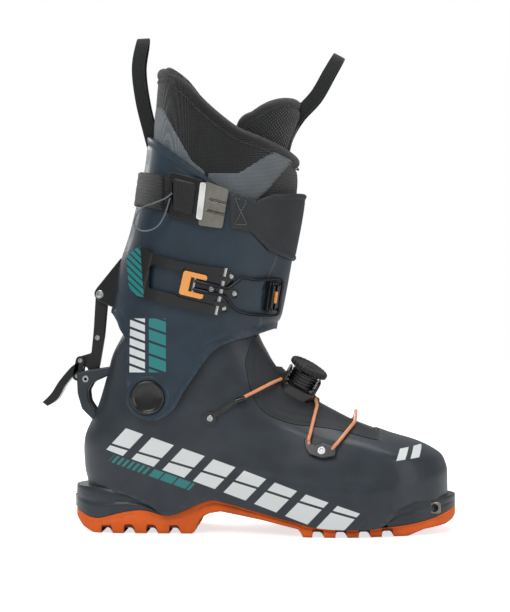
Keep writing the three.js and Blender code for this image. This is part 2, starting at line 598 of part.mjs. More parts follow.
piece('lace_anchor_screw_inner', twin(anchorScrew, ANCHOR.x), FINISH.steel);
piece('lace_guide_inner', twin(guide, GUIDE.x), FINISH.black);
piece('lace_guide_screw_inner', twin(guideScrew, GUIDE.x), FINISH.steel);

// ---- dial

const DIAL_AXIS = new THREE.Vector3(0.49, -0.17, 0.855).normalize();
/** The first argument at which a falling function has come down to a value. */
function whereFalls(f, value, low, high) {
  for (let i = 0; i < 40; i++) {
    const middle = (low + high) / 2;
    if (f(middle) > value) low = middle;
    else high = middle;
  }
  return (low + high) / 2;
}

const DIAL_SIDE = 15; // how far the dial stands to the outer side
const DIAL_RISE = 4; // and above the pivot
const DIAL_SINK = 3.8; // how far its seat lies inside the shell
const dialEdge = whereFalls((x) => shellBody.halfAt(x, PIVOT_Z + DIAL_RISE), DIAL_SIDE, THROAT_X, TOE_X);
const DIAL_SEAT = new THREE.Vector3(dialEdge - DIAL_SINK, -DIAL_SIDE, PIVOT_Z + DIAL_RISE);
const dialFrame = (() => {
  const along = new THREE.Vector3(1, 0, 0).addScaledVector(DIAL_AXIS, -DIAL_AXIS.x).normalize();
  const across = new THREE.Vector3().crossVectors(along, DIAL_AXIS);
  return new THREE.Matrix4().makeBasis(along, DIAL_AXIS, across).setPosition(DIAL_SEAT);
})();
const dialBox = ([a0, h0, c0], [a1, h1, c1]) => solid(new THREE.BoxGeometry(a1 - a0, h1 - h0, c1 - c0)
  .translate((a0 + a1) / 2, (h0 + h1) / 2, (c0 + c1) / 2).applyMatrix4(dialFrame));

const DIAL = {
  base: 6, cheek: 16, hub: 11, hubLow: 6.4, hubHigh: 19, knobLow: 17.6, knobHigh: 24, half: 13.5, spindle: 4,
};
piece('dial_base', largest(cut(join(
  dialBox([-DIAL.half, -14, -DIAL.half], [DIAL.half, DIAL.base, DIAL.half]),
  dialBox([-9, 0, -DIAL.half], [9, DIAL.cheek, -DIAL.hub - 0.5]),
  dialBox([-9, 0, DIAL.hub + 0.5], [9, DIAL.cheek, DIAL.half]),
), aroundShell)), FINISH.black);
piece('dial_hub', turned([[0, DIAL.hubLow], [DIAL.hub, DIAL.hubLow], [DIAL.hub, DIAL.knobLow - 0.8],
  [DIAL.spindle, DIAL.knobLow - 0.8], [DIAL.spindle, DIAL.hubHigh + 2], [0, DIAL.hubHigh + 2]],
dialFrame, 32), FINISH.black);
const knobRibs = 24;
const knob = new THREE.Shape(Array.from({ length: knobRibs * 2 }, (_, i) => {
  const turn = (Math.PI * i) / knobRibs;
  const radius = DIAL_RADIUS - (i % 2);
  return new THREE.Vector2(radius * Math.cos(turn), radius * Math.sin(turn));
}));
const knobDisc = new THREE.ExtrudeGeometry(knob,
  { depth: DIAL.knobHigh - DIAL.knobLow, bevelEnabled: false });
const spindleHole = [DIAL.spindle + JOIN_GAP, DIAL.hubHigh + 2 + JOIN_GAP];
piece('dial_knob', cut(
  solid(knobDisc.rotateX(-Math.PI / 2).translate(0, DIAL.knobLow, 0).applyMatrix4(dialFrame)),
  turned([[0, 0], [spindleHole[0], 0], spindleHole, [0, spindleHole[1]]], dialFrame, 32),
), FINISH.black);

// ---- laces, held all the way

const onDial = (along, height, across) => new THREE.Vector3(along, height, across).applyMatrix4(dialFrame);
const overShell = (x, z, side = -1) => shellBody.at(x, z, LACE_LIFT + 1, side);
/** Evenly spaced points over the shell between two [x, z] points. */
const overRun = ([x0, z0], [x1, z1], steps, side = -1) => heights(0, 1, steps)
  .map((t) => overShell(THREE.MathUtils.lerp(x0, x1, t), THREE.MathUtils.lerp(z0, z1, t), side));
const crimpX = ANCHOR.x + ANCHOR.reach[0] + 3.4;
const crimpZ = ANCHOR.z + ANCHOR.reach[1] + 2;
piece('lace_rear', wire([...overRun([crimpX, crimpZ], [THROAT_X + 6, PIVOT_Z + 11], 5),
  onDial(-DIAL.half - 1.8, 4.4, 8)], LACE_RADIUS, { steps: 24 }), FINISH.lace);
piece('lace_rear_inner', wire([...overRun([crimpX, crimpZ], [THROAT_X + 18, PIVOT_Z + 13], 7, 1),
  onDial(-1, 5, -DIAL.half - 1.9)], LACE_RADIUS, { steps: 30 }), FINISH.lace);
const overGuide = (dx, dz, side) => shellBody.at(GUIDE.x + dx, GUIDE.z + dz, LACE_LIFT + 1.4, side);
const guideRun = (side) => [overGuide(-9, 8, side), overGuide(-6.6, 1, side), overGuide(0, -3.6, side),
  overGuide(7, -1.5, side), overGuide(11, 5, side)];
const overInstep = (side) => overRun([GUIDE.x + 12.5, GUIDE.z + 7], [GUIDE.x + 27, GUIDE.z + 18], 3,
  side);
const ridgeX = alongInstep(0.5); // where the front lace crosses the top of the foot
const ridgeZ = whereFalls(shellBody.front, ridgeX, 50, SHELL_TOP);
const RIDGE = new THREE.Vector3(ridgeX, footBend(ridgeX), ridgeZ + 5.7);
piece('lace_front', wire([onDial(DIAL.half + 1.8, 3.4, 3), ...overRun([GUIDE.x - 2, GUIDE.z + 33],
  [GUIDE.x - 8, GUIDE.z + 10], 3), ...guideRun(-1).slice(1, -1), ...overInstep(-1), RIDGE,
  ...overInstep(1).reverse(), ...guideRun(1).reverse().slice(1, 4)], LACE_RADIUS, { steps: 54 }),
FINISH.lace);

// ---- cuff

/** Points of the cuff's lower edge, as offsets from the pivot, from the front round below to the back. */
const CUFF_EDGE = [[94, 52], [88.8, 50.2], [80.8, 47.5], [61.8, 42.1], [48.3, 34], [34.7, 15], [26.6, 2.8],
  [18.5, -10.6], [3.5, -17.5], [-11.3, -10.6], [-16.1, 15], [-16.1, 40.7], [-22.5, 52.5], [-26, 59.3],
  [-33, 65.1], [-50, 66.5]];
const cuffFront = (share) => cuffBody.front(upCuff(share));
const cuffOutline = [[20, CUFF_HEIGHT], [57, CUFF_HEIGHT], [PIVOT_X + 49, upCuff(0.815)],
  [PIVOT_X + 67, upCuff(0.755)], [cuffFront(0.7) + 20, upCuff(0.72)], [cuffFront(0.3) + 20, PIVOT_Z + 52],
  ...smooth(CUFF_EDGE, 40).map(([x, z]) => [PIVOT_X + x, PIVOT_Z + z])];

/** A strip of the given width along side-view points, on the outer side only. */
const slit = (points, width) =>
  sideBlock([...points, ...points.map(([x, z]) => [x + width, z]).reverse()], -FAR, 0);

const cuffInside = cuffBody.solid(cuffRings, -CUFF_WALL);
const cuffBoss = rodY(PIVOT_CAP_RADIUS + 2.4, PIVOT_X, PIVOT_Z, -PIVOT_SEAT, PIVOT_SEAT, 40);
const overlapEdge = [[THROAT_X - 6, upCuff(0.2)], [THROAT_X - 3, upCuff(0.267)], [THROAT_X - 1, upCuff(0.41)],
  [THROAT_X + 8.4, upCuff(0.514)], [cuffFront(0.66) - 8, upCuff(0.66)], [cuffFront(0.74) - 4, upCuff(0.8)]];
const cuffWall = common(cuffBody.wall(cuffRings, -CUFF_WALL, 0), sideBlock(cuffOutline, -FAR, FAR));
piece('cuff_shell', largest(cut(
  join(cuffWall, cut(cuffBoss, cuffInside)),
  slit(overlapEdge, 1.2),
  rodY(PIVOT_RADIUS + JOIN_GAP, PIVOT_X, PIVOT_Z, -FAR, FAR),
)), FINISH.cuff);

// ---- liner and its tongue

const linerTop = (share) => CUFF_HEIGHT + LINER_RISE * share;
const linerOutline = [[40, linerTop(1)], ...smooth([[72, linerTop(1)], [88, linerTop(0.78)],
  [102, linerTop(0.48)], [116, linerTop(0.23)], [130, linerTop(0.03)], [147, linerTop(-0.1)],
  [168, linerTop(-0.29)], [178, linerTop(-0.47)], [190, linerTop(-0.79)]], 16), [190, upCuff(0.6)],
[25, SHELL_TOP + 10.7], [25, linerTop(1)]];
const linerGap = CUFF_WALL + LINER_EASE;
piece('liner_cuff', largest(common(
  cuffBody.wall(cuffRings, -linerGap - LINER_WALL, -linerGap),
  sideBlock(linerOutline, -FAR, FAR),
)), FINISH.foam);

const tongueBack = linerGap + LINER_WALL + LINER_EASE;
const tongueBody = new Body({
  back: cuffBody.back,
  front: (z) => cuffBody.front(z) - tongueBack
    + (tongueBack - 3) * THREE.MathUtils.smoothstep(z, linerTop(-0.29), linerTop(0.43)),
  half: (x, z) => cuffBody.half(x, z) - tongueBack,
  backCap: cuffBody.backCap,
  frontCap: () => 46,
  columns: 11,
});
const tongueOutline = [[PIVOT_X + 76, upCuff(0.5)], ...smooth([[PIVOT_X + 70, upCuff(0.8)],
  [PIVOT_X + 71, linerTop(0.07)], [PIVOT_X + 82, linerTop(0.32)], [PIVOT_X + 95, linerTop(0.48)],
  [PIVOT_X + 109, linerTop(0.53)], [PIVOT_X + 119, linerTop(0.46)]], 16),
  [PIVOT_X + 130, linerTop(0.4)], [PIVOT_X + 130, upCuff(0.5)]];
piece('liner_tongue', largest(common(
  tongueBody.wall(heights(upCuff(0.44), linerTop(0.69), 11), -LINER_TONGUE_WALL, 0),
  sideBlock(tongueOutline, -FAR, FAR),
)), FINISH.foam);

// ---- webbing pull loops, each a strip folded over into a loop

const REAR_LOOP = { x: cuffBody.back(CUFF_HEIGHT) - 1.5, z: CUFF_HEIGHT + 2, rise: 75.5, half: 9 };
const rearLoopPoint = (share, y) => new THREE.Vector3(REAR_LOOP.x,
  y, REAR_LOOP.z + REAR_LOOP.rise * share);
piece('rear_pull_loop', ribbon([rearLoopPoint(0, -REAR_LOOP.half), rearLoopPoint(0.35, -REAR_LOOP.half),
  rearLoopPoint(0.7, -REAR_LOOP.half * 0.85), rearLoopPoint(0.94, -REAR_LOOP.half * 0.5), rearLoopPoint(1, 0),
  rearLoopPoint(0.94, REAR_LOOP.half * 0.5), rearLoopPoint(0.7, REAR_LOOP.half * 0.85),
  rearLoopPoint(0.35, REAR_LOOP.half), rearLoopPoint(0, REAR_LOOP.half)],
[new THREE.Vector3(1, 0, 0.1), new THREE.Vector3(1, 0, 0), new THREE.Vector3(1, 0, 0.1)], LOOP_WIDTH,
LOOP_WEBBING, 40), FINISH.webbing);

const TONGUE_LOOP = { x: cuffFront(1) + 0.6, z: linerTop(0.216), run: 30, rise: 52, half: 9 };
const tongueLoopPoint = (share, y) => new THREE.Vector3(TONGUE_LOOP.x + TONGUE_LOOP.run * share + 2, y,
  TONGUE_LOOP.z + TONGUE_LOOP.rise * share);
piece('tongue_pull_loop', ribbon([
  tongueLoopPoint(0, -TONGUE_LOOP.half), tongueLoopPoint(0.35, -TONGUE_LOOP.half),
  tongueLoopPoint(0.75, -TONGUE_LOOP.half * 0.8), tongueLoopPoint(0.96, -TONGUE_LOOP.half * 0.45),
  tongueLoopPoint(1, 0), tongueLoopPoint(0.96, TONGUE_LOOP.half * 0.45),
  tongueLoopPoint(0.75, TONGUE_LOOP.half * 0.8), tongueLoopPoint(0.35, TONGUE_LOOP.half),
  tongueLoopPoint(0, TONGUE_LOOP.half)],
[new THREE.Vector3(1, 0, -0.55), new THREE.Vector3(1, 0.2, -0.55), new THREE.Vector3(1, 0, -0.55)],
LOOP_WIDTH, LOOP_WEBBING, 40), FINISH.webbing);

// ---- power strap round the top of the cuff

/** A curved plate that follows the cuff between two heights over it, inside a side-view outline. */
const onCuff = (outline, low, high, sides = [-FAR, 0]) => largest(common(
  cuffBody.wall(cuffRings, low, high), sideBlock(outline, ...sides)));

const strapTop = (x) => upCuff(0.85) - 0.25 * (x - PIVOT_X); // slanting down to the front
const strapLow = (x) => strapTop(x) - 27;
const strapSpan = (x0, x1) =>
  [[x0, strapLow(x0)], [x1, strapLow(x1)], [x1, strapTop(x1)], [x0, strapTop(x0)]];
const BUCKLE_X = PIVOT_X + 15; // rear edge of the power buckle
const STRAP_SEAT = 0.5;
const bandEnd = PIVOT_X + 63;
piece('power_strap_webbing', largest(join(
  onCuff(strapSpan(10, BUCKLE_X + 24), STRAP_SEAT, STRAP_SEAT + WEBBING, [-FAR, 1]),
  onCuff(strapSpan(10, bandEnd), STRAP_SEAT, STRAP_SEAT + WEBBING, [-1, FAR]),
)), FINISH.webbing);

const bandOutline = [[bandEnd + JOIN_GAP, strapLow(bandEnd) - 1], [bandEnd + JOIN_GAP, strapTop(bandEnd)],
  [PIVOT_X + 82, strapTop(PIVOT_X + 82) - 2], [PIVOT_X + 94, strapTop(PIVOT_X + 94) + 6],
  [PIVOT_X + 140, upCuff(0.79)], [PIVOT_X + 140, upCuff(0.5)], [PIVOT_X + 107, upCuff(0.52)],
  [PIVOT_X + 91, upCuff(0.55)], [PIVOT_X + 78, upCuff(0.62)]];
piece('power_strap_band', onCuff(bandOutline, STRAP_SEAT, STRAP_SEAT + BAND, [-FAR, FAR]), FINISH.soft);

const frameLow = STRAP_SEAT + WEBBING + JOIN_GAP;
const FRAME_PLATE = 2.4;
const frameEnd = BUCKLE_X + 30;
const frameOutline = [[BUCKLE_X, strapLow(BUCKLE_X) - 2], [frameEnd - 6, strapLow(frameEnd) - 3],
  [frameEnd, strapTop(frameEnd) + 3], [BUCKLE_X + 3, strapTop(BUCKLE_X) + 3]];
const frameWindow = [[BUCKLE_X + 5, strapLow(BUCKLE_X) + 4], [BUCKLE_X + 18, strapLow(BUCKLE_X + 18) + 4],
  [BUCKLE_X + 18, strapTop(BUCKLE_X + 18) - 4], [BUCKLE_X + 5, strapTop(BUCKLE_X) - 4]];
piece('power_buckle_frame', cut(onCuff(frameOutline, frameLow, frameLow + FRAME_PLATE),
  sideBlock(frameWindow, -FAR, 0)), FINISH.black);

const camLow = frameLow + FRAME_PLATE + JOIN_GAP;
const camOutline = [[BUCKLE_X + 5.5, strapLow(BUCKLE_X) + 1], [BUCKLE_X + 20, strapLow(BUCKLE_X + 20) + 1.5],
  [BUCKLE_X + 23.5, strapTop(BUCKLE_X + 22) - 1], [BUCKLE_X + 6, strapTop(BUCKLE_X) - 2]];
piece('power_buckle_cam', onCuff(camOutline, camLow, camLow + 2.2), FINISH.black);

const tagOutline = [[BUCKLE_X + 23, strapLow(BUCKLE_X + 23)], [BUCKLE_X + 27.5, strapLow(BUCKLE_X + 28)],
  [BUCKLE_X + 31, strapTop(BUCKLE_X + 28) + 1], [BUCKLE_X + 26.5, strapTop(BUCKLE_X + 26) + 1]];
piece('release_tag', onCuff(tagOutline, camLow, camLow + 1), FINISH.white);

const hookOutline = [[frameEnd + 0.4 - 6, strapLow(frameEnd) - 3], [bandEnd - 5.4, strapLow(bandEnd) - 1],
  [bandEnd - JOIN_GAP, strapTop(bandEnd) + 1], [frameEnd + 0.4, strapTop(frameEnd) + 3]];
piece('power_strap_hook', onCuff(hookOutline, STRAP_SEAT, STRAP_SEAT + 3), FINISH.titanium);

// ---- cord on the power buckle's cam: a stiff loop that hangs free behind it

const cordRoute = [[5.1, -13.5], [0.5, -17], [-9.5, -20.8], [-19, -24], [-24.5, -30], [-25.5, -36.5],
  [-20, -41],
  [-12.5, -41.2], [-6, -38], [-1.2, -31], [1.4, -24], [3.4, -17.3]];
const cordLift = [6.6, 7.4, 8.2, 8.6, 8.4, 8, 7.8, 7.6, 7.4, 7, 6.8, 6.4];
piece('pull_cord', wire(cordRoute.map(([dx, dz], i) => {
  const [x, z] = [BUCKLE_X + dx, strapTop(BUCKLE_X) + dz];
  return cuffBody.at(x, z, cordLift[i]);
}), CORD_RADIUS, { sides: 8, steps: 30 }), FINISH.grey);

// ---- shin buckle

const HINGE = new THREE.Vector2(THROAT_X - 31.7, upCuff(0.4));
const BUCKLE_SLANT = 0.228; // radians that the buckle's length falls towards the front
const fromHinge = ([u, v]) => [HINGE.x + u * Math.cos(BUCKLE_SLANT) + v * Math.sin(BUCKLE_SLANT),
  HINGE.y - u * Math.sin(BUCKLE_SLANT) + v * Math.cos(BUCKLE_SLANT)];
const buckleOutline = (points) => points.map(fromHinge);

const BASE_TOP = 2.2;
const LEVER_LOW = 3;
const LEVER_TOP = LEVER_LOW + LEVER_PLATE;
const PIN_U = -21; // where the bail hangs on the slider
const HINGE_PIN = 1.6;
const HINGE_HALF = 18; // half-length of the hinge pin
const hingeLift = LEVER_LOW + LEVER_PLATE / 2;
/** A rod on the hinge's line, which runs up the cuff through the lever's two ears. */
const hingeRod = (radius, half) => {
  const [low, high] = [[0, -HINGE_HALF], [0, HINGE_HALF]]
    .map((end) => cuffBody.at(...fromHinge(end), hingeLift));
  const middle = low.clone().lerp(high, 0.5);
  const run = high.sub(low).setLength(half);
  const ends = [middle.clone().sub(run), middle.clone().add(run)];
  return wire(ends, radius, { sides: 16, steps: 1, straight: true });
};
const EAR = 5.5;
const earBlock = (v0, v1, low, high) =>
  onCuff(buckleOutline([[-EAR / 2, v0], [EAR, v0], [EAR, v1], [-EAR / 2, v1]]), low, high);
piece('buckle_base', cut(join(
  onCuff(buckleOutline([[-30, -14], [4, -14], [8, -8], [8, 9], [4, 15], [-30, 15]]), JOIN_GAP, BASE_TOP),
  earBlock(8, 11.4, JOIN_GAP, LEVER_TOP + 1),
  earBlock(-11.4, -8, JOIN_GAP, LEVER_TOP + 1),
), hingeRod(HINGE_PIN + JOIN_GAP, 30)), FINISH.black);
piece('buckle_hinge_pin', hingeRod(HINGE_PIN, HINGE_HALF), FINISH.steel);

const leverOutline = buckleOutline([[EAR - 2, -18], [EAR - 2, 18], [-20, 15.5], [-41, 15], [-58, 16.4],
  [-67, 20],
  [-75, 14], [-77, 8], [-70, -12], [-64, -18], [-55, -17.5], [-37, -19], [-15, -18.5]]);
const leverWindow = buckleOutline([[-57, 7], [-54, -10], [-32, -10.4], [-31, -11.6], [10, -11.8],
  [10, 11.8], [-31, 11.6], [-32, 8], [-54, 8.4]]);
piece('buckle_lever', largest(cut(onCuff(leverOutline, LEVER_LOW, LEVER_TOP), sideBlock(leverWindow, -FAR, 0),
  hingeRod(HINGE_PIN + JOIN_GAP, 30))), FINISH.black);
const bailLift = LEVER_TOP + 2 * JOIN_GAP + BAIL_RADIUS;
const pinSlot = (half, reach) => sideBlock(buckleOutline([[PIN_U - reach, -half], [PIN_U + 30, -half],
  [PIN_U + 30, half], [PIN_U - reach, half]]), -FAR, 0);
const sliderOutline = buckleOutline([[-30.5, -9.2], [-12, -9.2], [-12, 9.2], [-30.5, 9.2]]);
piece('lever_slider', cut(onCuff(sliderOutline, LEVER_LOW, LEVER_TOP + 0.8), pinSlot(5.4, 3)), FINISH.orange);

// ---- bail: one wire from the slider to the ladder and back

const bailAt = (u, v, lift) => {
  const [x, z] = fromHinge([u, v]);
  return cuffBody.at(x, z, lift);
};
const LADDER = { x: cuffBody.front(upCuff(0.38)) - 8, z: upCuff(0.382), half: 13.8 };
const ladderSeat = cuffBody.frame(LADDER.x, LADDER.z);
const bailEnd = (dz) => new THREE.Vector3(3.2, -4.8, dz).applyMatrix4(ladderSeat);
piece('buckle_bail', wire([bailAt(PIN_U, 3.1, bailLift - 2), bailAt(-6, 3, bailLift), bailAt(3, 4, bailLift),
  bailAt(15, 13, bailLift), bailAt(27, 13.6, bailLift), bailEnd(LADDER.half), bailEnd(-LADDER.half),
  bailAt(27, -12.4, bailLift), bailAt(15, -11, bailLift), bailAt(3, -3, bailLift), bailAt(-6, -3, bailLift),
  bailAt(PIN_U, -3.1, bailLift - 2)], BAIL_RADIUS, { steps: 56 }), FINISH.darkMetal);
const aroundCuff = cuffBody.solid(cuffRings, JOIN_GAP);
const ladderPlate = [[-8.5, -11.5], [7.5, -11.5], [8.5, -9], [8.5, 9], [7.5, 11.5], [-8.5, 11.5]];
piece('buckle_ladder', cut(join(plate(ladderPlate, -2.5, 2.6, ladderSeat),
  plate([[-2, -9], [0.4, -9], [0.4, 9], [-2, 9]], 2, 5, ladderSeat),
  plate([[-7, -9], [-4.6, -9], [-4.6, 9], [-7, 9]], 2, 5, ladderSeat),
), aroundCuff), FINISH.black);
piece('ladder_insert', plate([[-4.25, -4.5], [-2.35, -4.5], [-2.35, 4.5], [-4.25, 4.5]], 2.6 + JOIN_GAP, 6.6,
  ladderSeat), FINISH.orange);

// ---- walk mechanism on the back of the boot

const TOP_PIN = new THREE.Vector2(PIVOT_X - 42, upCuff(0.39));
const bracketOutline = [[TOP_PIN.x - 5, TOP_PIN.y], [TOP_PIN.x - 3.5, TOP_PIN.y + 4],
  [TOP_PIN.x + 17, upCuff(0.535)], [TOP_PIN.x + 20, upCuff(0.52)], [TOP_PIN.x + 16, upCuff(0.33)],
  [TOP_PIN.x + 7, TOP_PIN.y - 9], [TOP_PIN.x - 2, TOP_PIN.y - 5]];
const BRACKET_HALF = 8.4;
const barSlotHalf = BAR_HALF + 0.5;
const pinHole = (radius, at, half) => rodY(radius + JOIN_GAP, at.x, at.y, -half, half);
piece('walk_bracket', largest(cut(sideBlock(bracketOutline, -BRACKET_HALF, BRACKET_HALF),
  aroundCuff,
  block([-10, -barSlotHalf, TOP_PIN.y - 20], [TOP_PIN.x + 6.4, barSlotHalf, TOP_PIN.y + 7]),
  pinHole(2.6, TOP_PIN, FAR))), FINISH.black);
const rivet = (radius, at, half) => turned([[0, -half], [radius, -half], [radius, half], [0, half]],
  outwards(at.x, 0, at.y, 1));
piece('walk_bar_pin', rivet(2.6, TOP_PIN, BRACKET_HALF + 1), FINISH.steel);

const LEVER_PIN = new THREE.Vector2(3, PIVOT_Z + 26.8);
const barOutline = [[TOP_PIN.x - 4, TOP_PIN.y], [TOP_PIN.x - 2.8, TOP_PIN.y + 2.8],
  [TOP_PIN.x, TOP_PIN.y + 4], [TOP_PIN.x + 2.8, TOP_PIN.y + 2.8], [TOP_PIN.x + 5.4, TOP_PIN.y - 2],
  [21.6, PIVOT_Z + 46], [17, PIVOT_Z + 19],
  [15.8, PIVOT_Z + 11], [13, PIVOT_Z + 9], [12.3, PIVOT_Z + 15], [9.8, PIVOT_Z + 17.6], [8, PIVOT_Z + 21.5],
  [LEVER_PIN.x - 1.5, LEVER_PIN.y - 3.4], [LEVER_PIN.x - 3.4, LEVER_PIN.y],
  [LEVER_PIN.x - 1, LEVER_PIN.y + 3.2],
  [11.4, LEVER_PIN.y + 6], [13.4, PIVOT_Z + 52]];
const MID_PIN = new THREE.Vector2(PIVOT_X - 44.6, PIVOT_Z + 44.8);
const EAR_HALF = 3.4; // half-thickness of the bar's ear, between the lever's cheeks
const earSides = (side) => block([-12, side < 0 ? -FAR : EAR_HALF, LEVER_PIN.y - 15],
  [LEVER_PIN.x + 6.8, side < 0 ? -EAR_HALF : FAR, LEVER_PIN.y + 7]);
piece('walk_bar', largest(cut(sideBlock(barOutline, -BAR_HALF, BAR_HALF), pinHole(2.6, TOP_PIN, FAR),
  pinHole(2, MID_PIN, FAR), pinHole(1.8, LEVER_PIN, FAR), earSides(-1), earSides(1))), FINISH.black);
piece('walk_bar_rivet', rivet(2, MID_PIN, BAR_HALF + 0.5), FINISH.steel);

const HOOK_PIN = new THREE.Vector2(0.4, PIVOT_Z + 14.6);
const cheekLow = EAR_HALF + JOIN_GAP;
const cheek = arm([LEVER_PIN.x, LEVER_PIN.y], [HOOK_PIN.x, HOOK_PIN.y], 3.6);
const tailTop = smooth([[2, PIVOT_Z + 25.6], [-4, PIVOT_Z + 22], [-13.5, PIVOT_Z + 11], [-20, PIVOT_Z + 1],
  [-27, PIVOT_Z - 6]], 14);
const tailLow = smooth([[2, PIVOT_Z + 18.5], [-1, PIVOT_Z + 16.5], [-8.5, PIVOT_Z + 7.5],
  [-15, PIVOT_Z - 3.5], [-23, PIVOT_Z - 9]], 14);
const hub = rodY(4.2, LEVER_PIN.x, LEVER_PIN.y, -EAR_HALF - JOIN_GAP, EAR_HALF + JOIN_GAP, 24);
piece('walk_lever', largest(cut(join(
  sideBlock(cheek, -LEVER_HALF, -cheekLow),
  sideBlock(cheek, cheekLow, LEVER_HALF),
  cut(sideBlock([...tailTop, ...tailLow.reverse()], -LEVER_HALF, LEVER_HALF), hub),
), pinHole(1.8, LEVER_PIN, FAR), pinHole(1.6, HOOK_PIN, FAR))), FINISH.black);
piece('walk_lever_pin', rivet(1.8, LEVER_PIN, LEVER_HALF + 0.4), FINISH.steel);
piece('walk_lever_hook_pin', rivet(1.6, HOOK_PIN, LEVER_HALF + 0.4), FINISH.steel);

// ---------------------------------------------------------------- joints and the shared origin

/** A unit vector up the outer side of the cuff between two [x, z] points at one lift. */
const axisOnCuff = ([x0, z0], [x1, z1], lift) =>
  cuffBody.at(x1, z1, lift).sub(cuffBody.at(x0, z0, lift)).normalize();
const acrossBoot = new THREE.Vector3(0, 1, 0);
const flat = (at) => new THREE.Vector3(at.x, 0, at.y);
const hingeAxis = axisOnCuff(fromHinge([0, -18]), fromHinge([0, 18]), hingeLift);
const camHinge = [camOutline[1], camOutline[2]];
boot.userData.joints = {
  cuff_pivot: { at: new THREE.Vector3(PIVOT_X, 0, PIVOT_Z), axis: acrossBoot },
  walk_bar_swing: { at: flat(TOP_PIN), axis: acrossBoot },
  walk_lever_flip: { at: flat(LEVER_PIN), axis: acrossBoot },
  buckle_lever_hinge: { at: cuffBody.at(...fromHinge([0, 0]), hingeLift), axis: hingeAxis },
  buckle_bail_hinge: { at: bailAt(PIN_U, 0, bailLift - 2), axis: hingeAxis },
  power_cam_hinge: { at: cuffBody.at(...camHinge[0], camLow), axis: axisOnCuff(...camHinge, camLow) },
  dial_pull: { at: onDial(0, DIAL.hubLow, 0), axis: DIAL_AXIS },
  dial_turn: { at: onDial(0, DIAL.knobLow, 0), axis: DIAL_AXIS },
};

boot.updateMatrixWorld(true);
const bounds = new THREE.Box3().setFromObject(boot);
const middle = bounds.getCenter(new THREE.Vector3());
boot.position.set(-middle.x, -middle.y, -bounds.min.z);
const part = new THREE.Group();
part.add(boot);

export default part;
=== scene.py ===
"""Looks of an alpine touring ski boot for the right foot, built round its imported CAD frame.

Inside the classes lengths are millimetres on the maker's own axes: x runs from the heel end of the sole
to the toe, y to the inner side of the foot and z up from the ground. Workshop.row turns them into the
metres of the shared frame.
"""

import json
import logging
import math
from collections.abc import Callable, Sequence
from dataclasses import dataclass, field
from enum import Enum

import bpy
import numpy as np
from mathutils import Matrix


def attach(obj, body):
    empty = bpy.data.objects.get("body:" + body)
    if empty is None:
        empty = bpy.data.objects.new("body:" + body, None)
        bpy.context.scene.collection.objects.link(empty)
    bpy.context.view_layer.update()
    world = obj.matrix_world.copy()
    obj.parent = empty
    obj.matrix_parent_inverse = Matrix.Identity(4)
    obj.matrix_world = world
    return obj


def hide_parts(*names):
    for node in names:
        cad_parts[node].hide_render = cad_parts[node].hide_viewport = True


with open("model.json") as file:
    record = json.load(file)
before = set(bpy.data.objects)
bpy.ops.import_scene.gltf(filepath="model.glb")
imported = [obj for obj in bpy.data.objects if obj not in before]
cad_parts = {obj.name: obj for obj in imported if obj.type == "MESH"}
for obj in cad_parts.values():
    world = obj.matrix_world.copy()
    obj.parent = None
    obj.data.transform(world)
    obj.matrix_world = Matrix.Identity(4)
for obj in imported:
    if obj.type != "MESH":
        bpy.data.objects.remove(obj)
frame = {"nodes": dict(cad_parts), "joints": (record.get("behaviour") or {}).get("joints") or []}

Array = np.ndarray
Curve = Callable[[Array], Array]
Place = Callable[[Array, Array, Array | float], Array]
Depth = Callable[[Array], Array]
Pairs = Sequence[tuple[float, float]]
log = logging.getLogger("boot")

OUTER, INNER = -1, 1  # sides of the foot, as signs of y


# --- curves


def through(*points: tuple[float, float]) -> Curve:
    """A smooth function through points: cubic pieces with the mean slope at each point.

    Args:
        points: (at, value) pairs in rising order of at.

    Returns:
        The function, which keeps its end values beyond its ends.
    """
    at, value = np.array(points, float).T
    low = np.maximum(np.arange(len(at)) - 1, 0)
    high = np.minimum(np.arange(len(at)) + 1, len(at) - 1)
    slope = (value[high] - value[low]) / (at[high] - at[low])

    def curve(x: Array) -> Array:
        x = np.clip(x, at[0], at[-1])
        i = np.clip(np.searchsorted(at, x, side="right") - 1, 0, len(at) - 2)
        span = at[i + 1] - at[i]
        t = (x - at[i]) / span
        t2, t3 = t * t, t * t * t
        return ((2 * t3 - 3 * t2 + 1) * value[i] + (t3 - 2 * t2 + t) * span * slope[i] + (3 * t2 - 2 * t3)
            * value[i + 1] + (t3 - t2) * span * slope[i + 1])

    return curve


def round_end(share: Array) -> Array:
    """0 at an end, rising round a quarter of an ellipse to 1 where share is 1."""
    return np.sqrt(1 - (1 - np.clip(share, 0, 1)) ** 2)


def smoothstep(x: Array, low: float, high: float) -> Array:
    """0 below low, 1 above high, with a cubic ease between them."""
    t = np.clip((x - low) / (high - low), 0, 1)
    return t * t * (3 - 2 * t)


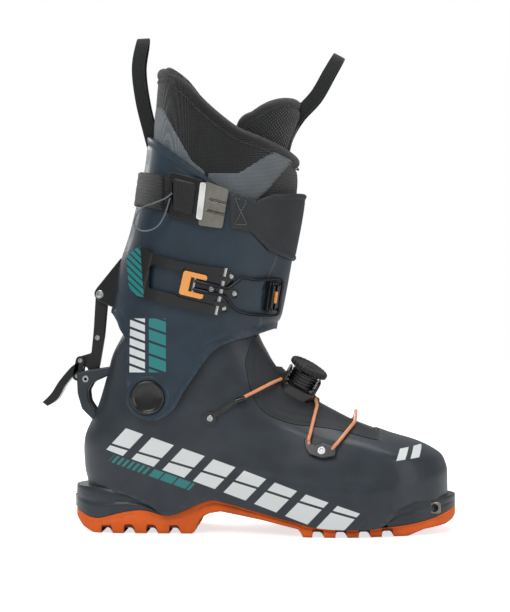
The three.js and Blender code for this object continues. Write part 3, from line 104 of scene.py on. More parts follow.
def spline(points: Sequence[Sequence[float]], count: int, even: bool = False) -> Array:
    """Points along a smooth curve through the given ones.

    Each piece is a cubic whose end slopes come from its neighbours, weighted by the square root of the
    distances between them (or evenly).

    Args:
        points: The points to pass through, in two or three dimensions.
        count: How many points to return.
        even: Weighs all distances alike.

    Returns:
        An array of count points.
    """
    p = np.array(points, float)
    ends = (p[:1], p[-1:]) if even else (2 * p[:1] - p[1:2], 2 * p[-1:] - p[-2:-1])
    p = np.concatenate([ends[0], p, ends[1]])
    gap = np.ones(len(p) - 1) if even else np.sqrt(np.linalg.norm(np.diff(p, axis=0), axis=1))
    at = np.linspace(0, len(points) - 1, count)
    i = np.minimum(at.astype(int), len(points) - 2)
    t = (at - i)[:, None]
    a, b, c, d = p[i], p[i + 1], p[i + 2], p[i + 3]
    g0, g1, g2 = (gap[i + k][:, None] for k in range(3))
    if even:
        m1, m2 = (c - a) / 2, (d - b) / 2
    else:
        m1 = ((b - a) / g0 - (c - a) / (g0 + g1) + (c - b) / g1) * g1
        m2 = ((c - b) / g1 - (d - b) / (g1 + g2) + (d - c) / g2) * g1
    return ((2 * t**3 - 3 * t**2 + 1) * b + (t**3 - 2 * t**2 + t) * m1 + (3 * t**2 - 2 * t**3) * c + (t**3 - t**2)
        * m2)


def lerp(a: float, b: float, t: float) -> float:
    """The value a share t of the way from a to b."""
    return a + (b - a) * t


def unit(v: Array) -> Array:
    """Vectors scaled to length 1."""
    return v / np.maximum(np.linalg.norm(v, axis=-1, keepdims=True), 1e-12)


# --- the boot's surfaces


@dataclass(frozen=True)
class Skin:
    """A tube with a foot-like horizontal outline that changes with height.

    At height z the outline runs from x = back(z) to x = front(z). Its half-width at x is half(x, z),
    rounded off over back_cap(z) and front_cap(z) at the two ends by quarter ellipses, and its middle
    swings to y = bend(x). Moving the surface out by grow adds grow to each of these lengths.
    """

    back: Curve
    front: Curve
    half: Callable[[Array, Array], Array]
    back_cap: Curve
    front_cap: Curve
    bend: Curve = lambda x: 0 * x

    def half_at(self, x: Array, z: Array, grow: Array | float = 0.0) -> Array:
        """Half-width of the outline at x and height z, moved out by grow."""
        back, front = self.back(z) - grow, self.front(z) + grow
        return ((self.half(x, z) + grow) * round_end((x - back) / (self.back_cap(z) + grow))
            * round_end((front - x) / (self.front_cap(z) + grow)))

    def turn(self, turn: Array, z: Array, grow: Array | float = 0.0) -> Array:
        """Points by turn round the outline: 0 at the back, the outer side up to pi at the front."""
        back, front = self.back(z) - grow, self.front(z) + grow
        x = back + (front - back) * (1 - np.cos(turn)) / 2
        side = np.where(np.sin(turn) >= 0, OUTER, INNER)
        return np.stack([x, self.bend(x) + side * self.half_at(x, z, grow), z + 0 * x], -1)

    def at(self, x: Array, z: Array, grow: Array | float = 0.0, side: int = OUTER) -> Array:
        """Points on one side by their place in the side view, moved out by grow."""
        x, z = np.broadcast_arrays(np.asarray(x, float), np.asarray(z, float))
        return np.stack([x, self.bend(x) + side * self.half_at(x, z, grow), z], -1)

    def seat(self, x: float, z: float, grow: float = 0.0, side: int = OUTER) -> "Seat":
        """A frame on the surface whose along runs forwards, up runs up it and out points off it."""
        step = 1.5
        along = unit(self.at(x + step, z, grow, side) - self.at(x - step, z, grow, side))
        up = self.at(x, z + step, grow, side) - self.at(x, z - step, grow, side)
        up = unit(up - along * (up @ along))
        out = np.cross(along, up) if side == OUTER else np.cross(up, along)
        return Seat(self.at(x, z, grow, side), along, up, out)


@dataclass(frozen=True)
class Seat:
    """A place to build on: an origin with three directions at right angles."""

    origin: Array
    along: Array
    up: Array
    out: Array

    def at(self, along: Array, up: Array, out: Array) -> Array:
        """Points at distances along, up and out from the seat."""
        along, up, out = np.broadcast_arrays(np.asarray(along, float), np.asarray(up, float), np.asarray(out, float))
        return (self.origin + along[..., None] * self.along + up[..., None] * self.up + out[..., None] * self.out)


def facing(x: float, y: float, z: float, side: int) -> Seat:
    """An upright seat on one side of the boot: along runs forwards and out points to that side."""
    return Seat(np.array([x, y, z]), np.array([1.0, 0, 0]), np.array([0.0, 0, 1]), np.array([0.0, side, 0]))


class Outline:
    """A closed outline in the side view that knows how deep a point lies inside it."""

    def __init__(self, points: Sequence[Sequence[float]]) -> None:
        """Takes the outline's corners in order."""
        self.points = np.array(points, float)

    def depth(self, x: Array, z: Array) -> Array:
        """Distance to the outline, positive inside and negative outside."""
        a, b = self.points, np.roll(self.points, -1, axis=0)
        ab = b - a
        found = []
        for block in np.array_split(np.stack([x, z], -1), max(1, len(x) // 20000)):
            p = block[:, None, :]
            t = np.clip(((p - a) * ab).sum(-1) / np.maximum((ab**2).sum(-1), 1e-9), 0, 1)
            gap = np.linalg.norm(p - a - t[..., None] * ab, axis=-1).min(1)
            px, pz = block[:, :1], block[:, 1:]
            rise = np.where(np.abs(ab[:, 1]) < 1e-9, 1e-9, ab[:, 1])
            crossed = ((a[:, 1] > pz) != (b[:, 1] > pz)) & (px < ab[:, 0] * (pz - a[:, 1]) / rise + a[:, 0])
            found.append(np.where(crossed.sum(1) % 2 == 1, gap, -gap))
        return np.concatenate(found)

    def of(self, points: Array) -> Array:
        """Depth of three-dimensional points seen from the side."""
        return self.depth(points[:, 0], points[:, 2])


def both(*tests: Depth) -> Depth:
    """Inside every one of several regions."""
    return lambda p: np.minimum.reduce([test(p) for test in tests])


# --- meshes


@dataclass
class Form:
    """Vertices in millimetres with quads and triangles, and values kept at each vertex."""

    points: Array
    quads: Array = field(default_factory=lambda: np.zeros((0, 4), int))
    tris: Array = field(default_factory=lambda: np.zeros((0, 3), int))
    marks: dict[str, Array] = field(default_factory=dict)

    def welded(self, digits: int = 3) -> "Form":
        """The same form with vertices at one place made one, and faces that vanish left out."""
        _, first, back = np.unique(np.round(self.points, digits), axis=0, return_index=True, return_inverse=True)
        back = back.ravel()
        quads, tris = back[self.quads], back[self.tris]
        same = quads == np.roll(quads, -1, axis=1)
        once = same.sum(1) == 1
        corner = same.argmax(1)
        rest = (corner[:, None] + np.array([1, 2, 3])) % 4
        made = np.take_along_axis(quads, rest, axis=1)[once]
        tris = np.concatenate([tris, made])
        whole = (tris != np.roll(tris, -1, axis=1)).all(1)
        marks = {key: value[first] for key, value in self.marks.items()}
        return Form(self.points[first], quads[same.sum(1) == 0], tris[whole], marks)

    def flipped(self) -> "Form":
        """The same form turned inside out."""
        return Form(self.points, self.quads[:, ::-1], self.tris[:, ::-1], self.marks)

    def with_others(self, *others: "Form") -> "Form":
        """This form and others as one, each still its own closed body."""
        forms = [self, *others]
        starts = np.cumsum([0] + [len(f.points) for f in forms])
        keys = set().union(*(f.marks for f in forms))
        marks = {key: np.concatenate([f.marks.get(key, np.zeros((len(f.points), 3))) for f in forms]) for key in keys}
        return Form(np.concatenate([f.points for f in forms]), np.concatenate(
            [f.quads + s for f, s in zip(forms, starts)]), np.concatenate([f.tris + s
            for f, s in zip(forms, starts)]), marks)

    def volume(self) -> float:
        """Signed volume, positive where the faces point outwards."""
        tris = np.concatenate([self.tris, self.quads[:, [0, 1, 2]], self.quads[:, [0, 2, 3]]])
        a, b, c = (self.points[tris[:, k]] for k in range(3))
        return float((a * np.cross(b, c)).sum() / 6)

    def outward(self) -> "Form":
        """The same form with its faces pointing outwards."""
        return self if self.volume() > 0 else self.flipped()


def lattice(rows: int, columns: int, closed: bool = False) -> Array:
    """Quads of a grid of vertices stored row by row; closed joins the last column to the first."""
    i, j = np.meshgrid(np.arange(rows - 1), np.arange(columns if closed else columns - 1), indexing="ij")
    i, j = i.ravel(), j.ravel()
    k = (j + 1) % columns
    return np.stack([i * columns + j, i * columns + k, (i + 1) * columns + k, (i + 1) * columns + j], 1)


@dataclass
class Sheet:
    """Part of a surface inside a region: its vertices' parameters, faces and depths inside the edge."""

    place: Place
    u: Array
    v: Array
    quads: Array
    tris: Array
    depth: Array

    @classmethod
    def cut(cls, place: Place, us: Array, vs: Array, depth: Depth) -> "Sheet":
        """Cuts a region out of a grid on a surface.

        Vertices within half a cell of the edge slide along the surface onto it, found by stepping the
        two parameters down the slope of the depth, and cells beyond it are dropped.

        Args:
            place: Points of the surface from two parameters and an offset.
            us: Grid lines of the first parameter.
            vs: Grid lines of the second parameter.
            depth: Depth of points inside the region.

        Returns:
            The sheet inside the region.
        """
        u, v = (g.ravel() for g in np.meshgrid(us, vs, indexing="ij"))
        su, sv = (g.ravel() for g in np.meshgrid(np.gradient(us), np.gradient(vs), indexing="ij"))
        near = None
        probe = 0.2
        deep = depth(place(u, v, 0.0))
        for _ in range(3):
            chosen = slice(None) if near is None else near
            cu, cv, cs, ct = u[chosen], v[chosen], su[chosen], sv[chosen]
            d = deep[chosen]
            du = (depth(place(cu + probe * cs, cv, 0.0)) - d) / probe
            dv = (depth(place(cu, cv + probe * ct, 0.0)) - d) / probe
            steep = np.maximum(du**2 + dv**2, 1e-12)
            if near is None:
                near = np.flatnonzero(np.abs(d) < 0.5 * np.sqrt(steep))
                du, dv, steep, d = du[near], dv[near], steep[near], d[near]
            u[near] -= d * du / steep * su[near]
            v[near] -= d * dv / steep * sv[near]
            deep[near] = depth(place(u[near], v[near], 0.0))
        state = np.where(deep > 0, 1, -1)
        state[near] = 0
        deep[near] = 0
        quads = lattice(len(us), len(vs))
        out, into = (state[quads] < 0).sum(1), (state[quads] > 0).sum(1)
        middle = depth(place(u[quads].mean(1), v[quads].mean(1), 0.0)) > 0
        whole = quads[(out == 0) & ((into > 0) | middle)]
        corner = (state[quads] < 0).argmax(1)
        rest = (corner[:, None] + np.array([1, 2, 3])) % 4
        tris = np.take_along_axis(quads, rest, axis=1)
        inside = depth(place(u[tris].mean(1), v[tris].mean(1), 0.0)) > 0
        tris = tris[(out == 1) & inside]
        used, where = np.unique(np.concatenate([whole.ravel(), tris.ravel()]), return_inverse=True)
        where = where.ravel()
        return cls(place, u[used], v[used], where[: whole.size].reshape(-1, 4), where[whole.size :].reshape(-1, 3),
            deep[used])

    def layer(self, grow: Array | float) -> Form:
        """The sheet moved out by grow."""
        return Form(self.place(self.u, self.v, grow), self.quads, self.tris, {})

    def rim(self, form: Form) -> Array:
        """Directed edges that only one face uses."""
        edges = np.concatenate([form.quads[:, [k, (k + 1) % 4]] for k in range(4)]
            + [form.tris[:, [k, (k + 1) % 3]] for k in range(3)])
        key = np.sort(edges, axis=1)
        _, first, count = np.unique(key, axis=0, return_index=True, return_counts=True)
        return edges[first[count == 1]]

    def thick(self, low: float, high: float, rim: float = 0.0, wave: Array | float = 0.0) -> Form:
        """A closed body between two offsets of the sheet.

        Args:
            low: Offset of the inner face.
            high: Offset of the outer face.
            rim: Width over which both faces close on their middle in a quarter round, or 0 for a
                square edge.
            wave: More offset at each vertex.

        Returns:
            The closed body, with the depth inside its edge as the mark "deep".
        """
        middle, half = (low + high) / 2, (high - low) / 2
        full = round_end(self.depth / rim) if rim else np.ones_like(self.depth)
        deep = np.repeat(self.depth[:, None], 3, 1)
        top = self.layer(middle + half * full + wave)
        base = self.layer(middle - half * full + wave)
        count = len(self.u)
        body = Form(np.concatenate([top.points, base.points]), np.concatenate(
            [top.quads, base.quads[:, ::-1] + count]), np.concatenate([top.tris, base.tris[:, ::-1] + count]),
            {"deep": np.concatenate([deep, deep])})
        joined = Form(top.points, top.quads, top.tris, {"at": np.arange(count)[:, None]}).welded()
        edge = joined.marks["at"][self.rim(joined)][:, :, 0]
        wall = np.stack([edge[:, 1], edge[:, 0], edge[:, 0] + count, edge[:, 1] + count], 1)
        body.quads = np.concatenate([body.quads, wall])
        return body.welded().outward()


def grid_form(points: Array, closed_rows: bool = False, closed_columns: bool = False) -> Form:
    """A form from a grid of points: rows of vertices joined by quads."""
    rows, columns = points.shape[:2]
    if closed_rows:
        points = np.concatenate([points, points[:1]])
        rows += 1
    return Form(points.reshape(-1, 3), lattice(rows, columns, closed_columns)).welded().outward()


def sweep(path: Array, section: Array, across: Array | None = None, closed: bool = False,
        taper: Array | float = 1.0) -> Form:
    """A section carried along a path.

    At each point of the path the section's first axis lies along the given direction, less its part
    along the path, and its second at right angles to both.

    Args:
        path: Points along the middle.
        section: Points of the section, in order round it.
        across: Direction of the section's first axis, one or one for each point of the path.
        closed: Joins the last section to the first, instead of closing both ends.
        taper: Scale of the section along the path.

    Returns:
        The closed form, with millimetres along and across as the mark "lay".
    """
    if across is None:
        centred = path - path.mean(0)
        across = np.linalg.svd(centred, full_matrices=False)[2][-1]
    if closed:
        run = unit(np.roll(path, -1, axis=0) - np.roll(path, 1, axis=0))
    else:
        run = unit(np.gradient(path, axis=0))
    across = np.broadcast_to(across, path.shape)
    wide = unit(across - run * (across * run).sum(1, keepdims=True))
    deep = np.cross(run, wide)
    size = np.broadcast_to(np.asarray(taper, float), (len(path),))[:, None, None]
    points = (path[:, None] + size * section[None, :, :1] * wide[:, None] + size * section[None, :, 1:]
        * deep[:, None])
    length = np.concatenate([[0], np.cumsum(np.linalg.norm(np.diff(path, axis=0), axis=1))])
    lay = np.stack(np.broadcast_arrays(length[:, None], section[None, :, 0], section[None, :, 1]), -1)
    if not closed:
        points = np.concatenate([np.repeat(path[:1, None], points.shape[1], 1), points,
            np.repeat(path[-1:, None], points.shape[1], 1)])
        lay = np.concatenate([lay[:1], lay, lay[-1:]])
    else:
        points, lay = np.concatenate([points, points[:1]]), np.concatenate([lay, lay[:1]])
    form = Form(points.reshape(-1, 3), lattice(len(points), points.shape[1], True), marks={"lay": lay.reshape(-1, 3)})
    return form.welded().outward()


def ring_section(radius: float, sides: int = 12) -> Array:
    """A round section."""
    turn = np.linspace(0, 2 * np.pi, sides, endpoint=False)
    return radius * np.stack([np.cos(turn), np.sin(turn)], 1)


def strap_section(width: float, thickness: float, sides: int = 20, power: float = 0.35) -> Array:
    """A flat section with round edges: a circle whose cosine and sine are raised to a low power."""
    turn = np.linspace(0, 2 * np.pi, sides, endpoint=False)
    c, s = np.cos(turn), np.sin(turn)
    return np.stack([np.sign(c) * np.abs(c) ** power * width / 2, np.sign(s) * np.abs(s) ** power * thickness / 2], 1)


def turned(profile: Pairs, seat: Seat, sides: int = 32, rib: Curve | None = None) -> Form:
    """A profile of (radius, height) turned about a seat's outward line.

    Args:
        profile: Radius and height of each point, from one end of the line to the other.
        seat: Where the piece stands.
        sides: How many steps round.
        rib: Scale of the radius by turn.

    Returns:
        The closed form.
    """
    turn = np.linspace(0, 2 * np.pi, sides, endpoint=False)
    radius, height = np.array(profile, float).T
    scale = np.ones_like(turn) if rib is None else rib(turn)
    spread = radius[:, None] * scale[None, :]
    points = seat.at(spread * np.cos(turn), spread * np.sin(turn), height[:, None] + 0 * turn)
    return Form(points.reshape(-1, 3), lattice(len(radius), sides, True)).welded().outward()


def prism(points: Array, to: Array) -> tuple[Array, list[list[int]]]:
    """Vertices and faces of an outline of points with its copy at to, and walls between them."""
    count = len(points)
    turn = np.arange(count)
    walls = np.stack([turn, (turn + 1) % count, (turn + 1) % count + count, turn + count], 1)
    faces = [list(range(count))[::-1], list(range(count, 2 * count)), *walls.tolist()]
    return np.concatenate([points, to]), faces


# --- finishes


class Slot(Enum):
    """The record's material slots."""

    SHELL = "shell_plastic"
    CUFF = "cuff_plastic"
    SOLE = "sole_rubber"
    BLACK = "black_plastic"
    RUBBER = "charcoal_rubber"
    LINER = "liner_textile"
    WEBBING = "webbing"
    ORANGE = "orange_plastic"
    LACE = "lace_wire"
    STEEL = "steel"
    GREY = "grey_metal"
    DARK = "dark_metal"
    WHITE = "white_plastic"
    CORD = "cord"


Socket = bpy.types.NodeSocket
Value = "float | Socket"
Colour = tuple[int, int, int]


def linear(colour: Colour) -> tuple[float, float, float, float]:
    """A colour of 0 to 255 as the shader's linear values."""
    c = np.array(colour) / 255
    return (*np.where(c <= 0.04045, c / 12.92, ((c + 0.055) / 1.055) ** 2.4).tolist(), 1.0)


class Shader:
    """A material under construction: its nodes round one Principled shader."""

    def __init__(self, name: str) -> None:
        """Starts an empty material of that name."""
        self.material = bpy.data.materials.new(name)
        self.material.use_nodes = True
        self.tree = self.material.node_tree
        self.bsdf = self.tree.nodes["Principled BSDF"]
        self.where = self.node("ShaderNodeTexCoord").outputs["Object"]

    def node(self, kind: str, **settings: object) -> bpy.types.Node:
        """Adds a node with its settings."""
        made = self.tree.nodes.new(kind)
        for key, value in settings.items():
            setattr(made, key, value)
        return made

    def put(self, value: object, socket: Socket) -> None:
        """Links a socket's output into another socket, or sets a plain value there."""
        if isinstance(value, Socket):
            self.tree.links.new(value, socket)
        else:
            socket.default_value = value

    def math(self, operation: str, *values: Value) -> Socket:
        """One arithmetic step."""
        made = self.node("ShaderNodeMath", operation=operation)
        for value, socket in zip(values, made.inputs):
            self.put(value, socket)
        return made.outputs[0]

    def ease(self, value: Value, low: float, high: float) -> Socket:
        """0 where value is low, 1 where it is high, smoothly between."""
        made = self.node("ShaderNodeMapRange", interpolation_type="SMOOTHSTEP")
        for key, each in (("Value", value), ("From Min", low), ("From Max", high)):
            self.put(each, made.inputs[key])
        return made.outputs[0]

    def between(self, value: Value, low: float, high: float, soft: float = 0.12) -> Socket:
        """1 between two values and 0 outside them, with soft edges."""
        rise = self.ease(value, low - soft, low + soft)
        return self.math("MULTIPLY", rise, self.math("SUBTRACT", 1.0, self.ease(value, high - soft, high + soft)))

    def every(self, *masks: Socket) -> Socket:
        """Where all of the masks are 1."""
        found = masks[0]
        for mask in masks[1:]:
            found = self.math("MULTIPLY", found, mask)
        return found

    def mix(self, share: Value, first: object, second: object) -> Socket:
        """A colour between two."""
        made = self.node("ShaderNodeMix", data_type="RGBA")
        for socket, value in zip((made.inputs[0], made.inputs[6], made.inputs[7]), (share, first, second)):
            self.put(value, socket)
        return made.outputs[2]

    def noise(self, size: float, detail: float = 3.0, stretch: tuple[float, float, float] = (1, 1, 1),
            where: object = None) -> Socket:
        """Noise whose lumps are size millimetres across, stretched along each axis."""
        scaled = self.node("ShaderNodeMapping")
        self.put(self.where if where is None else where, scaled.inputs["Vector"])
        scaled.inputs["Scale"].default_value = tuple(1 / s for s in stretch)
        made = self.node("ShaderNodeTexNoise")
        self.put(scaled.outputs[0], made.inputs["Vector"])
        made.inputs["Scale"].default_value = 1000 / size
        made.inputs["Detail"].default_value = detail
        return made.outputs[0]

    def lay(self, mark: str = "lay") -> list[Socket]:
        """The three numbers that a mark keeps at each vertex."""
        made = self.node("ShaderNodeSeparateXYZ")
        self.put(self.node("ShaderNodeAttribute", attribute_name=mark).outputs["Vector"], made.inputs[0])
        return list(made.outputs)

    def planar(self, x: float, z: float, fall: float = 0.0) -> tuple[Socket, Socket]:
        """Millimetres along and up from a place in the side view, the along line falling by an angle."""
        start = SHOP.row(np.array([x, 0.0, z]))
        found = []
        for direction in ((math.cos(fall), 0.0, -math.sin(fall)), (math.sin(fall), 0.0, math.cos(fall))):
            dot = self.node("ShaderNodeVectorMath", operation="DOT_PRODUCT")
            self.put(self.where, dot.inputs[0])
            dot.inputs[1].default_value = direction
            offset = sum(a * b for a, b in zip(direction, start.tolist()))
            found.append(self.math("MULTIPLY", self.math("SUBTRACT", dot.outputs["Value"], offset), 1000.0))
        return found[0], found[1]

    def outer_side(self) -> Socket:
        """1 on the outer side of the foot, 0 on the inner."""
        parts = self.node("ShaderNodeSeparateXYZ")
        self.put(self.where, parts.inputs[0])
        return self.math("LESS_THAN", parts.outputs[1], float(SHOP.shift[1] / 1000) - 0.012)

    def bump(self, height: Value, distance: float, over: object = None) -> Socket:
        """A relief of that many millimetres."""
        made = self.node("ShaderNodeBump")
        made.inputs["Distance"].default_value = distance / 1000
        self.put(height, made.inputs["Height"])
        if over is not None:
            self.put(over, made.inputs["Normal"])
        return made.outputs[0]

    def edges(self) -> Socket:
        """1 along edges that stand out, where handling wears them and where a painted highlight goes."""
        return self.ease(self.node("ShaderNodeNewGeometry").outputs["Pointiness"], 0.52, 0.62)


@dataclass(frozen=True)
class Finish:
    """A moulded surface: its colour drifts a little, its grain is pebbled and its edges are painted paler, partly as
    rubbed wear and partly as a painted highlight.
    """

    name: str
    colour: Colour
    roughness: float
    metallic: float = 0.0
    coat: float = 0.0
    sheen: float = 0.0
    grain: float = 0.5  # millimetres between the pebbles
    relief: float = 0.02  # millimetres that they stand up
    drift: float = 0.12
    # how much paler the edges are painted, partly as rubbed wear and partly as a painted highlight
    edge_wear_and_highlight: float = 0.35

    def material(self) -> bpy.types.Material:
        """The material, made at its first use."""
        found = bpy.data.materials.get(self.name)
        if found:
            return found
        shader = Shader(self.name)
        bsdf = shader.bsdf.inputs
        bsdf["Metallic"].default_value = self.metallic
        bsdf["Coat Weight"].default_value = self.coat
        bsdf["Coat Roughness"].default_value = 0.12
        bsdf["Sheen Weight"].default_value = self.sheen
        bsdf["Sheen Roughness"].default_value = 0.45
        colour, rough, normal = self.paint(shader)
        shader.put(colour, bsdf["Base Color"])
        shader.put(rough, bsdf["Roughness"])
        shader.put(normal, bsdf["Normal"])
        return shader.material

    def paint(self, s: Shader) -> tuple[object, object, object]:
        """Colour, roughness and normal of the surface.

        Args:
            s: The material under construction.

        Returns:
            What goes into the shader's colour, roughness and normal.
        """
        base = linear(self.colour)
        dark = tuple(c * (1 - 2 * self.drift) for c in base[:3]) + (1.0,)
        pale = tuple(min(1, c * 1.25 + 0.03) for c in base[:3]) + (1.0,)
        patches = s.noise(18, 4)
        colour = s.mix(s.ease(patches, 0.35, 0.65), dark, base)
        # paler along standing edges: partly rubbed wear, partly a painted highlight
        rubbed_and_highlit = s.math("MULTIPLY", s.math("MULTIPLY", s.edges(), s.ease(s.noise(4, 5), 0.35, 0.6)), self.edge_wear_and_highlight)
        colour = self.decorate(s, s.mix(rubbed_and_highlit, colour, pale))
        fine = s.noise(self.grain, 2)
        rough = s.math("ADD", self.roughness - 0.06, s.math("MULTIPLY", s.noise(7, 3), 0.12))
        return colour, rough, s.bump(self.shape(s, fine), self.relief)

    def decorate(self, s: Shader, colour: object) -> object:
        """What is printed over the colour."""
        return colour

    def shape(self, s: Shader, fine: object) -> object:
        """The height of the relief."""
        return fine


@dataclass(frozen=True)
class BrushedMetal(Finish):
    """Metal brushed along x, with fine scratches and dull patches."""

    metallic: float = 1.0
    drift: float = 0.08

    def shape(self, s: Shader, fine: object) -> object:
        """Scratches: noise drawn out along x."""
        return s.noise(0.35, 2, (14, 1, 1))


@dataclass(frozen=True)
class ShellPrint(Finish):
    """The lower shell's slanted bars, which are plain ornament.

    A row of bars falls towards the toe. Each is a band of along + slant * up, and short gaps cut it high
    and low in turn. A shorter row of thin and then solid bars lies below it, and two small ones at the toe.
    """

    def decorate(self, s: Shader, colour: object) -> object:
        """Bars over the plastic."""
        side = s.outer_side()
        white, teal = linear((226, 230, 230)), linear((40, 128, 128))
        along, up = s.planar(32, 74, 0.335)
        slanted = s.math("ADD", along, s.math("MULTIPLY", up, -0.45))
        cell = s.math("MODULO", s.math("ADD", slanted, 250.0), 25.0)
        bars = s.every(side, s.between(slanted, 4, 200), s.between(cell, 0, 18, 0.3), s.between(up, -10.5, 10.5))
        gap = s.between(s.math("SUBTRACT", up, s.math("MULTIPLY", slanted, 0.06)), -6.4, -4.6)
        bars = s.math("MULTIPLY", bars, s.math("SUBTRACT", 1.0, gap))
        colour = s.mix(bars, colour, white)
        along, up = s.planar(32, 58, 0.335)
        slanted = s.math("ADD", along, s.math("MULTIPLY", up, -0.45))
        thin = s.every(s.between(slanted, 0, 30), s.between(s.math("MODULO", s.math("ADD", slanted, 90.0), 4.2), 0,
            2.2))
        solid = s.every(s.between(slanted, 33, 66), s.between(s.math("MODULO", s.math("ADD", slanted, 90.0), 11.0), 0,
            9.8))
        strip = s.every(side, s.between(up, -3.2, 3.2), s.math("MAXIMUM", thin, solid))
        colour = s.mix(strip, colour, teal)
        along, up = s.planar(251, 62, -0.1)
        slanted = s.math("ADD", along, s.math("MULTIPLY", up, -0.5))
        mark = s.every(side, s.between(slanted, 0, 21), s.between(s.math("MODULO", s.math("ADD", slanted, 22.0),
            11.0), 0, 7), s.between(up, -4, 4))
        return s.mix(mark, colour, white)


@dataclass(frozen=True)
class CuffPrint(Finish):
    """The cuff's two columns of slanted bars, one pale and one teal."""

    def decorate(self, s: Shader, colour: object) -> object:
        """Bars over the plastic."""
        side = s.outer_side()
        along, up = s.planar(47, 124)
        for start, wide, tint, pitch in ((0, 12, (220, 226, 226), 7.0), (15, 13, (38, 132, 132), 10.0)):
            level = s.math("ADD", up, s.math("MULTIPLY", along, 0.35))
            row = s.between(s.math("MODULO", s.math("ADD", level, 70.0), pitch), 0, pitch - 1.9)
            block = s.every(side, s.between(along, start, start + wide), row, s.between(up, 0, 41))
            colour = s.mix(block, colour, linear(tint))
        return colour


@dataclass(frozen=True)
class TreadWithPaintedShade(Finish):
    """Rubber with painted shade darkening the gaps between the lugs, from the mark "tread"."""

    def decorate(self, s: Shader, colour: object) -> object:
        """Painted shade in the gaps between the lugs, and a browner, darker lower edge."""
        gap, level, _ = s.lay("tread")
        # painted shade: darker by the depth of the gap between the lugs
        colour = s.mix(s.ease(gap, 0.4, 2.2), colour, linear((92, 30, 16)))
        return s.mix(s.math("MULTIPLY", s.ease(level, 0.3, 0.0), 0.25), colour, linear((150, 70, 30)))


@dataclass(frozen=True)
class Knit(Finish):
    """A knitted cover: rows of small loops, each a bump that leans left and right in turn."""

    sheen: float = 0.35
    pitch: float = 1.3
    edge_wear_and_highlight: float = 0.0

    def loops(self, s: Shader) -> object:
        """Height of the loops: a wave up the cloth times one along it, shifted row by row."""
        parts = s.node("ShaderNodeSeparateXYZ")
        s.put(s.where, parts.inputs[0])
        x, y, z = (s.math("MULTIPLY", each, 1000 * 2 * math.pi / self.pitch) for each in parts.outputs)
        level = s.math("SINE", z)
        along = s.math("SINE", s.math("ADD", s.math("ADD", x, y), s.math("MULTIPLY", level, 0.8)))
        return s.math("MULTIPLY", s.math("ADD", level, 1.2), s.math("ADD", along, 1.2))

    def shape(self, s: Shader, fine: object) -> object:
        """Loops with fibres."""
        return s.math("ADD", self.loops(s), s.math("MULTIPLY", fine, 0.6))

    def decorate(self, s: Shader, colour: object) -> object:
        """Painted shade: darker between the loops, where the relief is low (in the holes of the spacer mesh)."""
        # painted shade in the hollows of the relief
        return s.mix(s.ease(self.loops(s), 1.6, 0.2), colour, tuple(c * 0.45 for c in linear(self.colour)[:3]) + (1.0,
            ))


@dataclass(frozen=True)
class Mesh3D(Knit):
    """Spacer mesh: round holes on a staggered grid."""

    pitch: float = 2.4

    def loops(self, s: Shader) -> object:
        """Height round the holes, from two waves at 60 degrees."""
        parts = s.node("ShaderNodeSeparateXYZ")
        s.put(s.where, parts.inputs[0])
        x, y, z = (s.math("MULTIPLY", each, 1000 * 2 * math.pi / self.pitch) for each in parts.outputs)
        flat = s.math("ADD", x, y)
        first = s.math("SINE", s.math("ADD", s.math("MULTIPLY", flat, 0.5), s.math("MULTIPLY", z, 0.87)))
        second = s.math("SINE", s.math("SUBTRACT", s.math("MULTIPLY", flat, 0.5), s.math("MULTIPLY", z, 0.87)))
        return s.math("SUBTRACT", 2.2, s.math("MULTIPLY", s.math("ADD", first, 1.0), s.math("ADD", second, 1.0)))


@dataclass(frozen=True)
class Woven(Finish):
    """Webbing: ribs along its length crossed by yarns, on the mark "lay" in millimetres."""

    sheen: float = 0.25
    edge_wear_and_highlight: float = 0.0
    yarn: float = 1.1
    rib: float = 2.6

    def weave(self, s: Shader) -> tuple[object, object]:
        """Height of the yarns and of the ribs."""
        along, across, _ = s.lay()
        rib = s.math("SINE", s.math("MULTIPLY", across, 2 * math.pi / self.rib))
        yarn = s.math("SINE", s.math("ADD", s.math("MULTIPLY", along, 2 * math.pi / self.yarn),
            s.math("MULTIPLY", rib, 1.5)))
        return yarn, rib

    def shape(self, s: Shader, fine: object) -> object:
        """Yarns, ribs and fibres."""
        yarn, rib = self.weave(s)
        return s.math("ADD", s.math("ADD", yarn, s.math("MULTIPLY", rib, 1.4)), fine)

    def decorate(self, s: Shader, colour: object) -> object:
        """Painted highlight: paler on the tops of the yarns and ribs."""
        yarn, rib = self.weave(s)
        # painted highlight where the weave stands highest
        high = s.ease(s.math("ADD", yarn, rib), 0.2, 1.8)
        pale = tuple(min(1, c * 2.0 + 0.012) for c in linear(self.colour)[:3]) + (1.0,)
        return s.mix(s.math("MULTIPLY", high, 0.6), colour, pale)


@dataclass(frozen=True)
class Strand(Finish):
    """A laid wire or cord: strands winding round it, on the mark "lay"."""

    twist: float = 1.7

    def shape(self, s: Shader, fine: object) -> object:
        """A wave along the length that the turn round the section shifts."""
        along, across, deep = s.lay()
        turn = s.math("ARCTAN2", deep, across)
        wave = s.math("SINE", s.math("ADD", s.math("MULTIPLY", along, 2 * math.pi / self.twist),
            s.math("MULTIPLY", turn, 3.0)))
        return s.math("ADD", wave, s.math("MULTIPLY", fine, 0.3))


@dataclass(frozen=True)
class Hatched(Finish):
    """The lever's teal grip with dark slanting lines, and black plastic beyond it."""

    def decorate(self, s: Shader, colour: object) -> object:
        """Teal over the grip, hatched."""
        along, up, _ = s.lay("grip")
        grip = s.between(s.math("ADD", along, s.math("MULTIPLY", up, 0.32)), -90, -61.6, 0.4)
        slant = s.math("ADD", s.math("ADD", up, s.math("MULTIPLY", along, 0.55)), 200.0)
        line = s.between(s.math("MODULO", slant, 4.6), 0, 1.4)
        teal = s.mix(line, linear((26, 128, 130)), linear((14, 52, 56)))
        return s.mix(grip, colour, teal)


